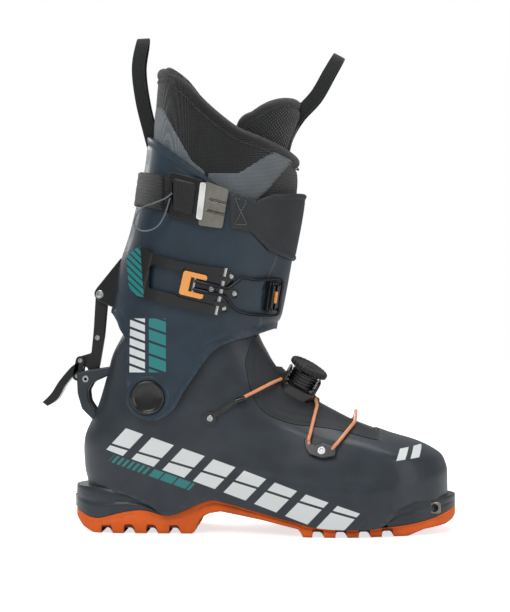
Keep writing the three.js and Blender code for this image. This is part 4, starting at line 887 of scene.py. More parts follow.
SHELL = ShellPrint("slate_shell", (45, 53, 61), 0.42, coat=0.15, grain=0.7, relief=0.015)
CUFF = CuffPrint("petrol_cuff", (32, 51, 66), 0.42, coat=0.15, grain=0.7, relief=0.015)
SOLE = TreadWithPaintedShade("orange_tread", (243, 104, 18), 0.62, grain=0.6, relief=0.05, drift=0.08)
BLACK = Finish("gloss_black", (17, 18, 20), 0.22, coat=0.4, grain=1.2, relief=0.008)
MATT = Finish("matt_black", (24, 25, 27), 0.5, grain=0.5, relief=0.03)
TONGUE = Finish("tongue_black", (13, 14, 16), 0.25, coat=0.2, grain=1.0, relief=0.01)
FLAP = Finish("charcoal_flap", (38, 42, 47), 0.55, grain=0.6, relief=0.03)
BAND = Finish("charcoal_band", (42, 46, 50), 0.62, grain=0.8, relief=0.06)
KNIT = Knit("black_knit", (27, 29, 31), 0.85, relief=0.16)
BINDING = Knit("black_binding", (20, 21, 23), 0.8, relief=0.12, pitch=0.9)
PANEL = Knit("grey_panel", (128, 136, 142), 0.85, relief=0.1, pitch=1.0)
MESH = Mesh3D("black_mesh", (30, 32, 34), 0.85, relief=0.25)
WEB = Woven("strap_webbing", (17, 21, 18), 0.85, relief=0.16)
LOOP = Woven("loop_webbing", (24, 26, 27), 0.85, relief=0.12, rib=2.0)
ORANGE = Finish("orange_plastic", (228, 76, 12), 0.4, coat=0.1, edge_wear_and_highlight=0.12)
LACE = Strand("lace_wire", (214, 72, 34), 0.45, relief=0.12)
CORD = Strand("grey_cord", (120, 126, 130), 0.7, relief=0.1, twist=1.1)
STEEL = BrushedMetal("bright_steel", (205, 207, 210), 0.28, relief=0.004)
GREY = BrushedMetal("warm_grey_metal", (150, 148, 138), 0.4, relief=0.006)
DARK = BrushedMetal("dark_wire", (58, 61, 66), 0.32, relief=0.004)
WHITE = Finish("white_tag", (236, 237, 235), 0.5, grain=0.8)
GRIP = Hatched("lever_black", (17, 18, 20), 0.26, coat=0.35, grain=1.2, relief=0.008)


# --- the workshop


class Workshop:
    """Turns forms into pieces of the boot: meshes in the shared frame that ride on its bodies."""

    def __init__(self) -> None:
        """Finds the maker's axes from the ankle pivot, which stands at x 61, y 0, z 104.7."""
        pivot = next(j for j in frame["joints"] if j["name"] == "cuff_pivot")
        self.shift = np.array(pivot["pos_m"]) * 1000 - np.array([61.0, 0.0, 104.7])

    def row(self, points: Array) -> Array:
        """Millimetres on the maker's axes as metres of the shared frame."""
        return (points + self.shift) / 1000

    def make(self, name: str, form: "Form | tuple[Array, list[list[int]]]", body: str, slot: Slot, finish: Finish,
            *nodes: str, bevel: float = 0.0, sharp: float = 38.0, padded: float | None = None) -> bpy.types.Object:
        """Makes one piece and sets it on its body.

        Args:
            name: The piece's name.
            form: Its form, or vertices with faces of any number of corners.
            body: The body that it rides on.
            slot: The record's slot that its finish comes from; not used.
            finish: Its finish.
            nodes: The frame's nodes that it stands for.
            bevel: Width in millimetres of the rounding along sharp edges, or 0.
            sharp: Degrees past which an edge stays sharp.
            padded: How tightly a soft piece is filled, or None; not used.

        Returns:
            The piece.
        """
        mesh = bpy.data.meshes.new(name)
        if isinstance(form, Form):
            mesh.from_pydata(self.row(form.points), [], form.quads.tolist() + form.tris.tolist())
            for key, value in form.marks.items():
                mark = mesh.attributes.new(key, "FLOAT_VECTOR", "POINT")
                mark.data.foreach_set("vector", np.ascontiguousarray(value, dtype=np.float32).ravel())
        else:
            mesh.from_pydata(self.row(form[0]), [], form[1])
        mesh.validate()
        mesh.shade_smooth()
        mesh.set_sharp_from_angle(angle=math.radians(sharp))
        piece = bpy.data.objects.new(name, mesh)
        bpy.context.scene.collection.objects.link(piece)
        if bevel:
            edge = piece.modifiers.new("rounding", "BEVEL")
            edge.width, edge.segments = bevel / 1000, 2
            edge.limit_method, edge.angle_limit = "ANGLE", math.radians(50)
            edge.harden_normals = False
        mesh.materials.append(finish.material())
        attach(piece, body)
        if nodes:
            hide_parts(*nodes)
        log.info("%s on %s: %d faces", name, body, len(mesh.polygons))
        return piece

    def keep(self, finish: Finish, *names: str) -> None:
        """Dresses nodes of the frame whose shapes are right."""
        for name in names:
            for each in frame["nodes"][name].material_slots:
                each.material = finish.material()
            log.info("%s kept, dressed as %s", name, finish.name)


SHOP = Workshop()


def faces_of(*parts: tuple[Array, list[list[int]]]) -> tuple[Array, list[list[int]]]:
    """Several bodies of points and faces as one."""
    points, faces, count = [], [], 0
    for vertices, each in parts:
        points.append(vertices)
        faces += [[i + count for i in face] for face in each]
        count += len(vertices)
    return np.concatenate(points), faces


def slab(outline: Array, low: float, high: float) -> tuple[Array, list[list[int]]]:
    """A side-view outline carried across the boot from y = low to y = high, faces outwards."""
    flat = np.array(outline, float)
    turned_area = (flat[:, 0] * np.roll(flat[:, 1], -1) - np.roll(flat[:, 0], -1) * flat[:, 1]).sum()
    if turned_area > 0:
        flat = flat[::-1]
    near = np.stack([flat[:, 0], np.full(len(flat), low), flat[:, 1]], 1)
    return prism(near, near + [0, high - low, 0])


def rounded(points: Pairs, radius: float, steps: int = 4) -> Array:
    """An outline with each corner cut round: a quadratic bow between points radius from the corner."""
    p = np.array(points, float)
    before, after = np.roll(p, 1, axis=0), np.roll(p, -1, axis=0)
    reach = lambda q: np.minimum(radius, 0.45 * np.linalg.norm(q - p, axis=1))[:, None] * unit(q - p)
    a, b = p + reach(before), p + reach(after)
    t = np.linspace(0, 1, steps + 1)[None, :, None]
    return ((1 - t) ** 2 * a[:, None] + 2 * t * (1 - t) * p[:, None] + t**2 * b[:, None]).reshape(-1, 2)


def arm(start: Sequence[float], end: Sequence[float], radius: float) -> Array:
    """An outline with straight sides and round ends between two points."""
    a, b = np.array(start, float), np.array(end, float)
    along = math.atan2(b[1] - a[1], b[0] - a[0])
    turn = np.linspace(0, np.pi, 12)
    cap = lambda c, first: c + radius * np.stack([np.cos(first + turn), np.sin(first + turn)], 1)
    return np.concatenate([cap(b, along - np.pi / 2), cap(a, along + np.pi / 2)])


def plate(seat: Seat, outline: Array, low: float, high: float) -> tuple[Array, list[list[int]]]:
    """An outline of (along, up) points on a seat, from low to high off it."""
    flat = np.array(outline, float)
    area = (flat[:, 0] * np.roll(flat[:, 1], -1) - np.roll(flat[:, 0], -1) * flat[:, 1]).sum()
    if area * np.dot(np.cross(seat.along, seat.up), seat.out) < 0:
        flat = flat[::-1]
    return prism(seat.at(flat[:, 0], flat[:, 1], low), seat.at(flat[:, 0], flat[:, 1], high))


def rows_by_arc(front: Curve, low: float, high: float, step: float) -> Array:
    """Heights whose points on the front line are evenly apart."""
    z = np.linspace(low, high, 1500)
    run = np.concatenate([[0], np.cumsum(np.hypot(np.diff(front(z)), np.diff(z)))])
    return np.interp(np.linspace(0, run[-1], max(8, int(run[-1] / step))), run, z)


# --- the boot's measures

TOE_X, THROAT_X, SHELL_TOP, CUFF_HEIGHT = 290.0, 149.0, 154.7, 307.0
PIVOT_X, PIVOT_Z = 61.0, 104.7
FOREFOOT_X = 178.5
BUCKLE_X, FRAME_END, BAND_END = 76.0, 106.0, 124.0  # rear of the power buckle, its front, the band's rear


def along_instep(share: float) -> float:
    """x a share of the way from the throat to the toe."""
    return lerp(THROAT_X, TOE_X, share)


def up_cuff(share: float) -> float:
    """z a share of the way from the pivot to the cuff's top."""
    return lerp(PIVOT_Z, CUFF_HEIGHT, share)


def liner_top(share: float) -> float:
    """z a share of the way from the cuff's top to the liner's."""
    return CUFF_HEIGHT + 50 * share


def arch(share: float) -> float:
    """x a share of the way along the arch between the two treads."""
    return lerp(95, FOREFOOT_X, share)


def strap_top(x: float) -> float:
    """z of the power strap's upper edge, which slants down to the front."""
    return up_cuff(0.85) - 0.25 * (x - PIVOT_X)


def strap_low(x: float) -> float:
    """z of the power strap's lower edge."""
    return strap_top(x) - 27


def const(value: float) -> Curve:
    """The same value everywhere."""
    return lambda at: value + 0 * at


ball_width = through((0, 37), (30, 38), (90, 39), (139.6, 43), (178.2, 52), (207.9, 54), (237.6, 52), (297, 46))
foot_bend = through((0, 0), (89.1, 0), (163.4, -2), (222.8, -2), (267.3, 2), (297, 3))
cuff_half = through((104.7, 46.2), (up_cuff(0.3), 47.2), (up_cuff(0.9), 56), (up_cuff(1.2), 57))
SHELL_FRONT = through((0, 290), (20, 290), (34, 289.8), (50, 289.3), (58, 287), (64, 279), (70, along_instep(0.83)),
    (76, along_instep(0.69)), (82, along_instep(0.58)), (89, along_instep(0.47)), (104, along_instep(0.28)),
    (123, along_instep(0.115)), (144, along_instep(0.02)), (SHELL_TOP, 147))
CUFF_FRONT = through((79.7, 154), (up_cuff(0.26), 157), (up_cuff(0.32), 161), (up_cuff(0.53), 169),
    (up_cuff(0.76), 177), (up_cuff(1.2), 182))
CUFF_BACK = through((79.7, 20), (up_cuff(0.08), 21), (up_cuff(0.26), 26), (up_cuff(0.45), 32), (up_cuff(0.53), 35.5),
    (up_cuff(0.62), 41.5), (up_cuff(0.76), 48.5), (up_cuff(0.9), 54.5), (up_cuff(1.2), 60))
SHELL_SKIN = Skin(through((0, 9), (36, 9), (48, 6.5), (72, 6.5), (92.7, 15.5), (102.7, 19), (121.7, 24.5),
    (137.7, 29), (SHELL_TOP, 38)), SHELL_FRONT, lambda x, z: ball_width(x) + (41 - ball_width(x))
    * smoothstep(z, 45, 99.7), const(38), through((0, 42), (55, 44), (70, 60), (85, 72), (105, 74), (125, 60),
    (SHELL_TOP, 52)), foot_bend)
SOLE_SKIN = Skin(const(0), const(297), lambda x, z: through((0, 36), (60, 36), (118.8, 36), (178.2, 49), (213.8, 50),
    (255.4, 41), (297, 38))(x), const(36), const(38), foot_bend)
CUFF_SKIN = Skin(CUFF_BACK, CUFF_FRONT, lambda x, z: cuff_half(z), through((104.7, 33), (up_cuff(0.5), 44)),
    const(56))
PAD_IN = 4.2 + 7 + 1  # from the cuff's outside to the liner's inside
TONGUE_SKIN = Skin(CUFF_BACK, lambda z: CUFF_FRONT(z) - PAD_IN + (PAD_IN - 3)
    * smoothstep(z, liner_top(-0.29), liner_top(0.43)), lambda x, z: cuff_half(z) - PAD_IN, CUFF_SKIN.back_cap,
    const(46))

SOLE_LINE = spline([(-2, 17), (6, 15), (14, 12), (23, 11.8), (39, 16), (56, 18), (76, 14), (95, 21.5),
    (arch(0.16), 26), (arch(0.31), 24.4), (arch(0.58), 18.5), (arch(0.95), 11), (190.5, 7.6), (215.5, 6.4),
    (245.5, 7.4), (266.5, 10.2), (281.5, 14.2), (299, 21)], 120, even=True)
SOLE_BOTTOM = np.array([(-2, 15), (1, 10.5), (8, 4), (17, 0), (95, 0), (arch(0.07), 12), (arch(0.14), 15.6),
    (arch(0.25), 17.2), (arch(0.66), 11.4), (arch(0.98), 5.6), (178.5, 0), (258.5, 0), (263.5, 2), (271, 4.8),
    (288, 7.2), (294, 10), (299, 15)])
WELT_LINE = np.array([(-5, 35), (22, 35), (44, 31), (62, 23), (76, 12), (228.5, 6), (242, 12), (251, 24), (263, 28.3),
    (302, 28.3)])
FLAP_EDGE = [(141.5, 154.7), (135, 134.7), (135.6, 124.7), (139.2, 109.7), (147.3, 95.7), (along_instep(0.08), 88),
    (along_instep(0.19), 84), (along_instep(0.32), 82), (along_instep(0.43), 79), (along_instep(0.56), 74),
    (along_instep(0.63), 72)]


def flap_outline(ease: float) -> Outline:
    """The instep that the flap covers, let out by ease."""
    let_out = np.array([(-1, 0), (-1, 0), (-1, 0), (-1, -1), (0, -1), (0, -1), (0, -1), (0, -1), (0, -1), (0, -1),
        (1, -1)])
    edge = spline(np.array(FLAP_EDGE) + ease * let_out, 60, even=True)
    top = SHELL_TOP + 30
    return Outline([(141.5 - ease, top), *edge, (along_instep(0.65) + ease, 100), (along_instep(0.65) + ease, top)])


def over(line: Array, lift: float = 0.0) -> Depth:
    """Depth above a line of (x, z) points, in millimetres of height."""
    return lambda p: p[:, 2] - np.interp(p[:, 0], line[:, 0], line[:, 1]) - lift


def cuff_patch(outline: Sequence[Sequence[float]], step: float, *tests: Depth, side: int = OUTER,
        slant: float = 0.0) -> Sheet:
    """A patch of the cuff's side inside an outline, on a grid along and up it.

    Args:
        outline: Side-view outline.
        step: Millimetres between grid lines.
        tests: More regions that it lies in.
        side: Side of the foot.
        slant: Radians that the grid falls to the front.

    Returns:
        The patch.
    """
    region = Outline(outline)
    c, s = math.cos(slant), math.sin(slant)
    middle = region.points.mean(0)
    flat = region.points - middle
    u, v = flat[:, 0] * c - flat[:, 1] * s, flat[:, 0] * s + flat[:, 1] * c

    def place(a: Array, b: Array, grow: Array | float) -> Array:
        return CUFF_SKIN.at(middle[0] + a * c + b * s, middle[1] - a * s + b * c, grow, side)

    us = np.arange(u.min() - 1.5 * step, u.max() + 1.6 * step, step)
    vs = np.arange(v.min() - 1.5 * step, v.max() + 1.6 * step, step)
    return Sheet.cut(place, us, vs, both(region.of, *tests))


def wrap(skin: Skin, rows: Array, columns: int, *tests: Depth, start: float = 0.0, end: float = 2 * math.pi) -> Sheet:
    """A patch of a skin all the way round, or between two turns, inside every test's region."""
    return Sheet.cut(skin.turn, np.linspace(start, end, columns), rows, both(*tests))


# --- sole and lower shell


@dataclass
class Sole:
    """The rubber sole: two lugged treads with an arch between them."""

    lug_depth: float = 4.4
    lug_pitch: float = 17.5
    rows: int = 4

    def gap(self, x: Array) -> Array:
        """Depth of the gaps between lugs at x: flat-topped, with a raked front wall."""
        starts = np.concatenate([24 + self.lug_pitch * np.arange(self.rows), FOREFOOT_X + 8 + self.lug_pitch
            * np.arange(self.rows)])
        near = x[:, None] - starts[None]
        shape = np.interp(near, [-0.2, 0.1, 1, 5.5, 7, 9], [0, 3.4, 4.4, 4.4, 3.4, 0])
        return (shape * ((near > -0.2) & (near < 9))).max(1) * self.lug_depth / 4.4

    def body(self) -> Form:
        """The sole as rings across it, one for each x.

        The bottom of a ring lies on the tread line, raised by the gap at that x and by a channel along
        the middle. Its top lies under the shell. Its sides draw in a little halfway up.
        """
        ends = 297 * (1 - np.cos(np.linspace(0, np.pi, 80))) / 2
        lugs = np.concatenate([24 + 17.5 * np.arange(4), 186.5 + 17.5 * np.arange(4)])
        edges = (lugs[:, None] + np.array([-0.25, 0.1, 1, 5.5, 7, 9])).ravel()
        x = np.unique(np.round(np.concatenate([ends, edges, np.linspace(0, 297, 150)]), 2))
        x = x[(x > 0.05) & (x < 296.95)]
        x = np.concatenate([[0.05], x, [296.95]])
        top = np.interp(x, *SOLE_LINE.T) - 0.35
        base = np.interp(x, *SOLE_BOTTOM.T)
        gap = self.gap(x)
        s = np.linspace(-1, 1, 25)
        channel = 3.0 * (1 - smoothstep(np.abs(s), 0.16, 0.24))[None, :] * ((base < 1.5) & (x > 30))[:, None]
        low = base[:, None] + np.maximum(gap[:, None], channel)
        low = np.minimum(low, top[:, None] - 0.6)
        wide = SOLE_SKIN.half_at(x, 0 * x)[:, None]
        t = np.linspace(0, 1, 9)
        inset = np.interp(t, [0, 0.06, 0.3, 0.62, 0.7, 0.8, 0.9, 1], [0.8, 0.1, 0, 0, 0.7, 0.7, 0, 0.3])[None, :]
        side_z = low[:, -1:] + (top - low[:, -1])[:, None] * t[None]
        side_y = np.maximum(wide - inset, 0)
        mid = foot_bend(x)[:, None]
        rings = np.concatenate([np.stack([x[:, None] + 0 * s, mid + s[None] * side_y[:, :1], low], -1),
            np.stack([x[:, None] + 0 * t, mid + side_y, side_z], -1)[:, 1:], np.stack(
            [x[:, None] + 0 * s, mid - s[None] * side_y[:, -1:], top[:, None] + 0 * s], -1)[:, 1:],
            np.stack([x[:, None] + 0 * t, mid - side_y, side_z], -1)[:, ::-1][:, 1:-1]], 1)
        # the mark "tread" keeps the gap depth, which darkens the gaps as painted shade, and the share of the height
        deep = np.broadcast_to(gap[:, None] * (rings[:, :, 2] < base[:, None] + 6), rings.shape[:2])
        level = (rings[:, :, 2] - base[:, None]) / np.maximum(top - base, 1)[:, None]
        marks = np.stack([deep, level, 0 * level], -1)
        first, last = rings[:1].mean(1, keepdims=True), rings[-1:].mean(1, keepdims=True)
        count = rings.shape[1]
        rings = np.concatenate([np.repeat(first, count, 1), rings, np.repeat(last, count, 1)])
        marks = np.concatenate([marks[:1], marks, marks[-1:]])
        form = Form(rings.reshape(-1, 3), lattice(len(rings), count, True), marks={"tread": marks.reshape(-1, 3)})
        return form.welded().outward()

    def build(self) -> None:
        """Makes the sole."""
        SHOP.make("sole", self.body(), "lower_boot", Slot.SOLE, SOLE, "outsole", bevel=0.5, sharp=32)


@dataclass
class LowerShell:
    """The shell round the foot, with its two welts and the heel bracket, and the binding fittings."""

    wall: float = 3.6
    slot: float = 6.4
    arm: float = 4.5
    lock: tuple[float, float] = (8.0, 117.3)

    def crease(self, u: Array, v: Array) -> Array:
        """How far the shell stands out beyond its plain skin.

        A shoulder 1.3 mm high rises across a line that falls from the ankle to the toe, and two long
        hollows lie behind the ankle and over the ball.
        """
        p = SHELL_SKIN.turn(u, v)
        line = np.interp(p[:, 0], [0, 60, 129, 227, 289], [66, 58, 49, 37, 52])
        shoulder = 1.3 * smoothstep(line - p[:, 2], -4.5, 4.5) * smoothstep(p[:, 0], 70, 130)
        hollow = lambda x, z, wide, tall: np.exp(-(((p[:, 0] - x) / wide) ** 2) - ((p[:, 2] - z) / tall) ** 2)
        return shoulder + 1.4 * hollow(72, 66, 26, 13) - 0.8 * hollow(150, 62, 34, 9) + 0.9 * hollow(255, 62, 22, 6)

    def sides(self) -> Form:
        """The shell itself, a wall on its skin above the sole and welts, open over the instep."""
        rows = rows_by_arc(SHELL_FRONT, 4, SHELL_TOP, 2.3)
        flap = flap_outline(0)
        hole = lambda p: np.hypot(p[:, 0] - PIVOT_X, p[:, 2] - PIVOT_Z) - 6.35
        sheet = wrap(SHELL_SKIN, rows, 221, over(SOLE_LINE), over(WELT_LINE, -1.5), lambda p: -flap.of(p), hole)
        return sheet.thick(-self.wall, 0, wave=self.crease(sheet.u, sheet.v))

    def welt(self, first: float, last: float, groove: bool) -> Form:
        """A welt between two x, as rings across it from the sole's line to the ledge.

        Its side is flat with a groove at half its height, and its upper edge is rounded off.
        """
        x = np.unique(np.concatenate([np.linspace(first, last, 60), np.linspace(max(first, 0.05), first + 4, 8),
            297 - 38 * np.linspace(0.001, 1, 30) ** 2]))
        x = x[(x >= first) & (x <= last)]
        low, high = np.interp(x, *SOLE_LINE.T), np.interp(x, *WELT_LINE.T)
        high = np.maximum(high, low + 0.4)
        t = np.linspace(0, 1, 15)
        cut = 0.9 if groove else 0.5
        inset = np.interp(t, [0, 0.05, 0.42, 0.46, 0.56, 0.6, 0.9, 1], [0.3, 0, 0, cut, cut, 0, 0.15, 1.1])
        wide = np.maximum(SOLE_SKIN.half_at(x, 0 * x)[:, None] - inset[None], 0.02)
        z = low[:, None] + (high - low)[:, None] * t[None]
        mid = foot_bend(x)[:, None]
        xx = x[:, None] + 0 * t
        s = np.linspace(1, -1, 9)
        top = np.stack([x[:, None] + 0 * s, mid + s * wide[:, -1:], high[:, None] + 0 * s], -1)[:, 1:-1]
        base = np.stack([x[:, None] + 0 * s, mid - s * wide[:, :1], low[:, None] + 0 * s], -1)[:, 1:-1]
        rings = np.concatenate([np.stack([xx, mid + wide, z], -1), top, np.stack([xx, mid - wide, z], -1)[:, ::-1],
            base], 1)
        ends = [np.repeat(r.mean(1, keepdims=True), rings.shape[1], 1) for r in (rings[:1], rings[-1:])]
        return grid_form(np.concatenate([ends[0], rings, ends[1]]), closed_columns=True)

    def bracket(self) -> tuple[Array, list[list[int]]]:
        """Two crooked arms from the shell to the lock pin."""
        outline = rounded([(1.1, 121.8), (8, 124), (31.7, 127.5), (33, 122), (24.7, 119.8), (13, 114.5), (9.5, 108),
            (10.5, 100), (18.5, 88), (15, 84), (5, 94), (1.6, 106), (1.2, 114)], 1.5)
        near, far = self.slot, self.slot + self.arm
        return faces_of(slab(outline, -far, -near), slab(outline, near, far))

    def toe_fitting(self) -> Form:
        """The metal bar across the toe: at each end a round-cornered face round a conical socket."""
        turn = np.linspace(0, 2 * np.pi, 33)[:-1]
        c, s = np.cos(turn), np.sin(turn)
        square = lambda half_x, half_z: np.stack([np.sign(c) * np.abs(c) ** 0.45 * half_x,
            np.sign(s) * np.abs(s) ** 0.45 * half_z], 1)
        circle = lambda r: r * np.stack([c, s], 1)
        loops = [(0 * square(1, 1), 29.5), (circle(1.0), 29.5), (circle(2.7), 33.2), (circle(3.1), 34.6),
            (square(4.3, 3.8), 34.6), (square(5, 4.5), 33.9)]
        rings = [np.stack([279 + q[:, 0], 2.4 - y + 0 * c, 20.5 + q[:, 1]], 1) for q, y in loops]
        rings += [np.stack([279 + q[:, 0], 2.4 + y + 0 * c, 20.5 + q[:, 1]], 1) for q, y in loops[::-1]]
        return grid_form(np.array(rings), closed_columns=True)

    def build(self) -> None:
        """Makes the shell and dresses the fittings."""
        SHOP.make("lower_shell_wall", self.sides(), "lower_boot", Slot.SHELL, SHELL, "lower_shell", bevel=0.5)
        SHOP.make("heel_welt", self.welt(0.05, 74, True), "lower_boot", Slot.SHELL, SHELL, bevel=0.3, sharp=40)
        SHOP.make("toe_welt", self.welt(243, 296.95, False), "lower_boot", Slot.SHELL, SHELL, bevel=0.3, sharp=40)
        SHOP.make("heel_bracket", self.bracket(), "lower_boot", Slot.SHELL, SHELL, bevel=0.9)
        SHOP.make("toe_bar", self.toe_fitting(), "lower_boot", Slot.GREY, GREY, "toe_fitting", sharp=30)
        heel = Seat(np.array([0.6, 0.0, 23.5]), np.array([0.0, 1, 0]), np.array([0.0, 0, 1]), np.array([-1.0, 0, 0]))
        rim = rounded([(-9, -6), (9, -6), (9, 6), (-9, 6)], 2.5)
        # the slots are thin black sheets on the plate's face: painted shade standing for the dark inside of real
        # slots
        slots = [plate(heel, rounded([(y - 1.5, -3), (y + 1.5, -3), (y + 1.5, 3), (y - 1.5, 3)], 0.7), 0.9, 1.15)
            for y in (-5.8, 5.8)]
        SHOP.make("heel_plate", plate(heel, rim, -3.2, 0.9), "lower_boot", Slot.STEEL, STEEL, "heel_fitting",
            bevel=0.4)
        SHOP.make("heel_plate_slot_shade", faces_of(*slots), "lower_boot", Slot.BLACK, MATT)
        SHOP.make("heel_screw", turned([(0, -6), (2.6, -6), (2.6, 1.3), (2.1, 1.7), (1.2, 1.7), (1.2, 0.5), (0, 0.5)],
            heel, 24), "lower_boot", Slot.STEEL, STEEL, "heel_fitting_screw", sharp=30)
        SHOP.keep(STEEL, "pivot_bushing_outer", "pivot_bushing_inner")
        SHOP.keep(MATT, "footboard")
        for name, side in (("outer", OUTER), ("inner", INNER)):
            out = facing(self.lock[0], side * self.slot, self.lock[1], side)
            pin = turned([(0, 0), (3, 0), (3, self.arm - 0.3), (2.4, self.arm + 0.5), (1.2, self.arm + 0.5),
                (1.0, self.arm), (0, self.arm)], out, 28)
            SHOP.make(f"lock_pin_head_{name}", pin, "lower_boot", Slot.STEEL, STEEL, f"lock_pin_{name}", sharp=30)
            seat = facing(PIVOT_X, side * 47.35, PIVOT_Z, side)
            cap = turned([(0, 0), (12.6, 0), (13, 0.4), (13, 1.6), (12.4, 2.4), (11.6, 2.6), (10.9, 2.3), (10.1, 1.3),
                (9.2, 1.0), (4, 0.85), (0, 0.8)], seat, 64)
            SHOP.make(f"pivot_disc_{name}", cap, "lower_boot", Slot.BLACK, BLACK, f"pivot_cap_{name}", sharp=50)


@dataclass
class Instep:
    """The charcoal flap over the instep and the glossy tongue under it."""

    def ridge_slots(self) -> Depth:
        """Outside the two slots along the ridge of the flap."""
        top = lambda p: np.minimum.reduce([np.interp(p[:, 2], [127, 145], [15, 22]) - np.abs(p[:, 1]),
            p[:, 2] - 126.7, p[:, 0] - 109])
        low = lambda p: np.minimum.reduce([16 - np.abs(p[:, 1]), p[:, 0] - along_instep(0.3),
            along_instep(0.62) - p[:, 0]])
        return lambda p: -np.maximum(top(p), low(p))

    def build(self) -> None:
        """Makes the flap, stepped down along its edge with a groove inside it, and the tongue."""
        rows = rows_by_arc(SHELL_FRONT, 62, SHELL_TOP, 1.8)
        around = dict(start=math.pi * 0.42, end=math.pi * 1.58)
        flap = wrap(SHELL_SKIN, rows, 171, flap_outline(-0.5).of, self.ridge_slots(), **around)
        edge = np.clip(flap.depth, 0, 20)
        swell = 0.5 * smoothstep(edge, 1.5, 3.0) - 0.5 * (1 - smoothstep(np.abs(edge - 6.5), 0.3, 1.1))
        SHOP.make("instep_flap_cover", flap.thick(-2.7, -0.3, wave=swell), "lower_boot", Slot.RUBBER, FLAP,
            "instep_flap", bevel=0.4)
        rows = rows_by_arc(SHELL_FRONT, 62, SHELL_TOP + 3, 2.2)
        tongue = wrap(SHELL_SKIN, rows, 141, flap_outline(6).of, **around)
        SHOP.make("instep_tongue_wall", tongue.thick(-6.95, -4.35), "lower_boot", Slot.BLACK, TONGUE, "instep_tongue",
            bevel=0.5)


@dataclass
class Lacing:
    """The dial with its base, the steel laces and the plates that they run over."""

    radius: float = 1.35
    axis: tuple[float, float, float] = (0.49, -0.17, 0.855)

    def seat(self) -> Seat:
        """Where the dial stands, its outward line along the dial's axis."""
        axis = unit(np.array(self.axis))
        along = unit(np.array([1.0, 0, 0]) - axis * axis[0])
        return Seat(np.array([172.99, -15.0, 108.7]), along, np.cross(along, axis), axis)

    def dial(self) -> None:
        """Makes the base with its cheeks, the ribbed hub and the knob."""
        seat = self.seat()
        turn = np.linspace(0, 2 * np.pi, 64, endpoint=False)
        square = np.stack([np.sign(np.cos(turn)) * np.abs(np.cos(turn)) ** 0.45,
            np.sign(np.sin(turn)) * np.abs(np.sin(turn)) ** 0.45], 1)
        loops = [(0, -9), (13.2, -9), (13.6, -2), (13.9, 3.4), (13.4, 5.2), (12.2, 6), (11.4, 6), (11.1, 5.2),
            (0, 5.2)]
        rings = np.array([seat.at(square[:, 0] * r, square[:, 1] * r, h) for r, h in loops])
        base = grid_form(rings, closed_columns=True)
        SHOP.make("dial_housing", base, "lower_boot", Slot.BLACK, BLACK, "dial_base", sharp=40)
        cheeks = []
        for side in (-1, 1):
            stand = Seat(seat.origin + side * 12.4 * seat.along, seat.up, seat.out, side * seat.along)
            outline = rounded([(-9, 2), (9, 2), (8, 13), (6, 16), (-6, 16), (-8, 13)], 2.5)
            cheeks.append(plate(stand, outline, -0.9, 1.2))
        SHOP.make("dial_cheeks", faces_of(*cheeks), "lower_boot", Slot.BLACK, BLACK, bevel=0.5)
        ribs = [(0, 6.4), (10.2, 6.4)]
        for k in range(4):
            h = 6.8 + 2.45 * k
            ribs += [(10.1, h), (10.9, h + 0.4), (11, h + 1.2), (10.9, h + 1.6), (10.1, h + 1.9)]
        ribs += [(10.1, 16.8), (4, 16.8), (4, 21), (0, 21)]
        SHOP.make("dial_spool", turned(ribs, seat, 48), "dial_hub_body", Slot.BLACK, BLACK, "dial_hub", sharp=30)
        rib = lambda a: 1 - 0.05 * smoothstep(np.cos(24 * a), -0.2, 0.6)
        knob = [(0, 21.4), (4.35, 21.4), (4.35, 18.9), (14.2, 18.9), (15.4, 19.6), (15.4, 22.2), (14.6, 23.1),
            (12.6, 23.4), (11.8, 22.8), (3.4, 22.5), (2.6, 23), (0, 23)]
        SHOP.make("dial_grip", turned(knob, seat, 240, rib), "dial_knob_body", Slot.BLACK, MATT, "dial_knob",
            sharp=40)

    def over_shell(self, x: float, z: float, side: int = OUTER) -> Array:
        """A point of the lace's middle line over the shell."""
        return SHELL_SKIN.at(x, z, 5.15, side)

    def run(self, start: tuple[float, float], end: tuple[float, float], steps: int, side: int = OUTER) -> list[Array]:
        """Evenly spaced points over the shell between two (x, z) points."""
        return [self.over_shell(lerp(start[0], end[0], t), lerp(start[1], end[1], t), side)
            for t in np.linspace(0, 1, steps + 1)]

    def laces(self) -> None:
        """Makes the three runs of lace, each a twisted wire on a smooth line through its points."""
        seat, crimp = self.seat(), (131.0 - 0.2, 103.6)
        guide_x, guide_z = along_instep(0.305), 67
        over_guide = lambda side: [SHELL_SKIN.at(guide_x + dx, guide_z + dz, 2.9, side)
            for dx, dz in ((-7.6, 1.6), (-4, -1.6), (2, -3.2), (7.6, -1.6))]
        instep = lambda side: self.run((guide_x + 11, guide_z + 2.5), (guide_x + 26.2, guide_z + 18.6), 6, side)
        ridge = np.array([219.5, float(foot_bend(np.array(219.5))), 86.92 + 5.7])
        routes = {"lace_rear": [*self.run(crimp, (155, 115.7), 5), seat.at(-15.3, 8, 4.4)],
            "lace_rear_inner": [*self.run(crimp, (167, 117.7), 7, INNER), seat.at(-1, -15.4, 5)],
            "lace_front": [seat.at(15.3, 3, 3.4), *self.run((guide_x - 2.6, guide_z + 31),
            (guide_x - 8.4, guide_z + 7), 6), *over_guide(OUTER), *instep(OUTER), ridge, *instep(INNER)[::-1],
            *over_guide(INNER)[::-1]]}
        for name, points in routes.items():
            path = spline(points, 40 * len(points) // 3)
            SHOP.make(f"{name}_wire", sweep(path, ring_section(self.radius, 14), across=np.array([0.0, 0, 1])),
                "lower_boot", Slot.LACE, LACE, name, sharp=60)
        crimps = [sweep(spline(self.run((c - 3.5, crimp[1] - 1.4), (c + 3.5, crimp[1] + 1.0), 2, side), 8),
            ring_section(2.3, 14)) for c, side in ((crimp[0] + 1, OUTER), (crimp[0] + 1, INNER))]
        SHOP.make("lace_crimps", crimps[0].with_others(crimps[1]), "lower_boot", Slot.BLACK, BLACK, sharp=30)

